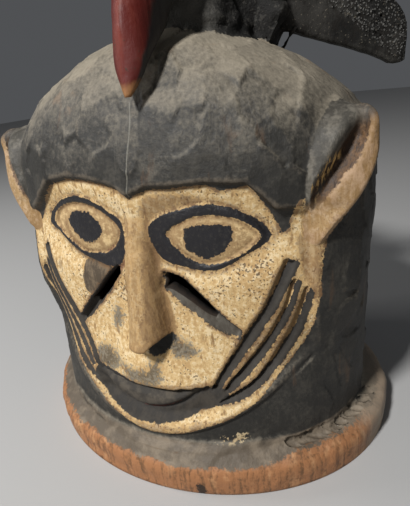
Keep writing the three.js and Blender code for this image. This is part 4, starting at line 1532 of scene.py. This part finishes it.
def bareCoat(name, depth):
    c = Coat(name)
    colour = c.mix(c.step("grain", 0.35, 0.65), "woodDark", "wood")
    colour = c.mix(c.step("streak", 0.5, 0.75), colour, "woodLight")
    # painted shade: mixed towards the near-black cut colour by the given share
    colour = c.mix(depth, colour, "cut")
    colour = c.mix(c.step("broad", 0.45, 0.75, 0.6, blot=0.8), colour, "woodDark")
    return c.finish(colour, c.wobble(0.8, blot=0.2), (("grain", 0.7), ("blot", 0.5)))


coats = {
    "face": faceCoat(),
    # each bare coat's number is its share of painted shade, most in the slits' walls
    "ear": bareCoat("earWood", 0.5),    # only marks the ears until they are painted as the face
    "bird": birdCoat("charcoalBird", 0.0),
    "dots": birdCoat("wingDots", 0.6),
    "beak": beakCoat(),
    "cut": bareCoat("slitWall", 0.92),
    "inside": bareCoat("insideWood", 0.25),
}
coatNames = {coat.name: name for name, coat in coats.items()}
print("coats mixed")

mask = carveMask(coats)
mask.name = "helmetMask"
slotNames = [coatNames[slot.name] for slot in mask.data.materials]
softenRoots(mask.data, slotNames)
workSurface(mask.data, slotNames)
dropStrays(mask.data)
paintSurface(mask.data, slotNames)
mask.data.calc_loop_triangles()
print("surface worked and painted,", len(mask.data.loop_triangles), "triangles")

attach(mask, "root")
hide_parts("helmet_mask")


# floor, light and camera

room = {
    "floorSize": 9.0,
    "floorColour": (0.45, 0.445, 0.435),
    "floorRoughness": 0.9,
    "sky": (0.8, 0.83, 0.88),
    "skyStrength": 0.1,
    "lamps": {      # place, power, size
        "key": ((-0.3, -1.3, 1.5), 42.0, 0.22),
        "side": ((-1.3, -0.35, 0.9), 5.0, 0.4),
    },
    "aim": (0.0, -0.05, 0.2),
}


def buildRoom():
    mesh = bpy.data.meshes.new("floor")
    half = room["floorSize"] / 2
    corners = [(-half, -half, 0), (half, -half, 0), (half, half, 0), (-half, half, 0)]
    mesh.from_pydata(corners, [], [(0, 1, 2, 3)])
    coat = Coat("paleFloor")
    coat.shader.inputs["Base Color"].default_value = (*room["floorColour"], 1)
    coat.shader.inputs["Roughness"].default_value = room["floorRoughness"]
    mesh.materials.append(coat.material)
    floor = newObject("floor", mesh)
    world = bpy.data.worlds.new("room")
    world.use_nodes = True
    sky = world.node_tree.nodes["Background"]
    sky.inputs[0].default_value = (*room["sky"], 1)
    sky.inputs[1].default_value = room["skyStrength"]
    bpy.context.scene.world = world
    for name, (place, power, size) in room["lamps"].items():
        lamp = bpy.data.lights.new(name, "AREA")
        lamp.energy = power
        lamp.size = size
        holder = newObject(name, lamp)
        holder.location = place
        aim = Vector(room["aim"]) - Vector(place)
        holder.rotation_euler = aim.to_track_quat("-Z", "Y").to_euler()
    bpy.context.scene.view_settings.view_transform = "Standard"


# the photograph's viewpoint, worked out from the mask's own outline
view = {
    "turn": 25.7,           # degrees
    "lift": 22.0,
    "roll": -6.3,
    "eye": (0.1617, -0.3225, 0.2877),   # from the head's axis
    "focalPixels": 434,
    "framePixels": 506,
    "sensor": 36,
    "nearest": 0.01,
}


def buildCamera():
    turn, lift, roll = (math.radians(view[key]) for key in ("turn", "lift", "roll"))
    back = Vector((math.sin(turn) * math.cos(lift), -math.cos(turn) * math.cos(lift),
                   math.sin(lift)))
    right = Vector((math.cos(turn), math.sin(turn), 0))
    up = back.cross(right)
    across = right * math.cos(roll) + up * math.sin(roll)
    above = up * math.cos(roll) - right * math.sin(roll)
    camera = bpy.data.cameras.new("camera")
    camera.sensor_width = view["sensor"]
    camera.lens = view["focalPixels"] * view["sensor"] / view["framePixels"]
    camera.clip_start = view["nearest"]
    holder = newObject("camera", camera)
    eye = Vector(view["eye"]) + Vector(headShift / perMetre)
    turned = Matrix((across, above, back)).transposed().to_4x4()
    holder.matrix_world = Matrix.Translation(eye) @ turned
    bpy.context.scene.camera = holder


buildRoom()
buildCamera()
print("room, light and camera set")
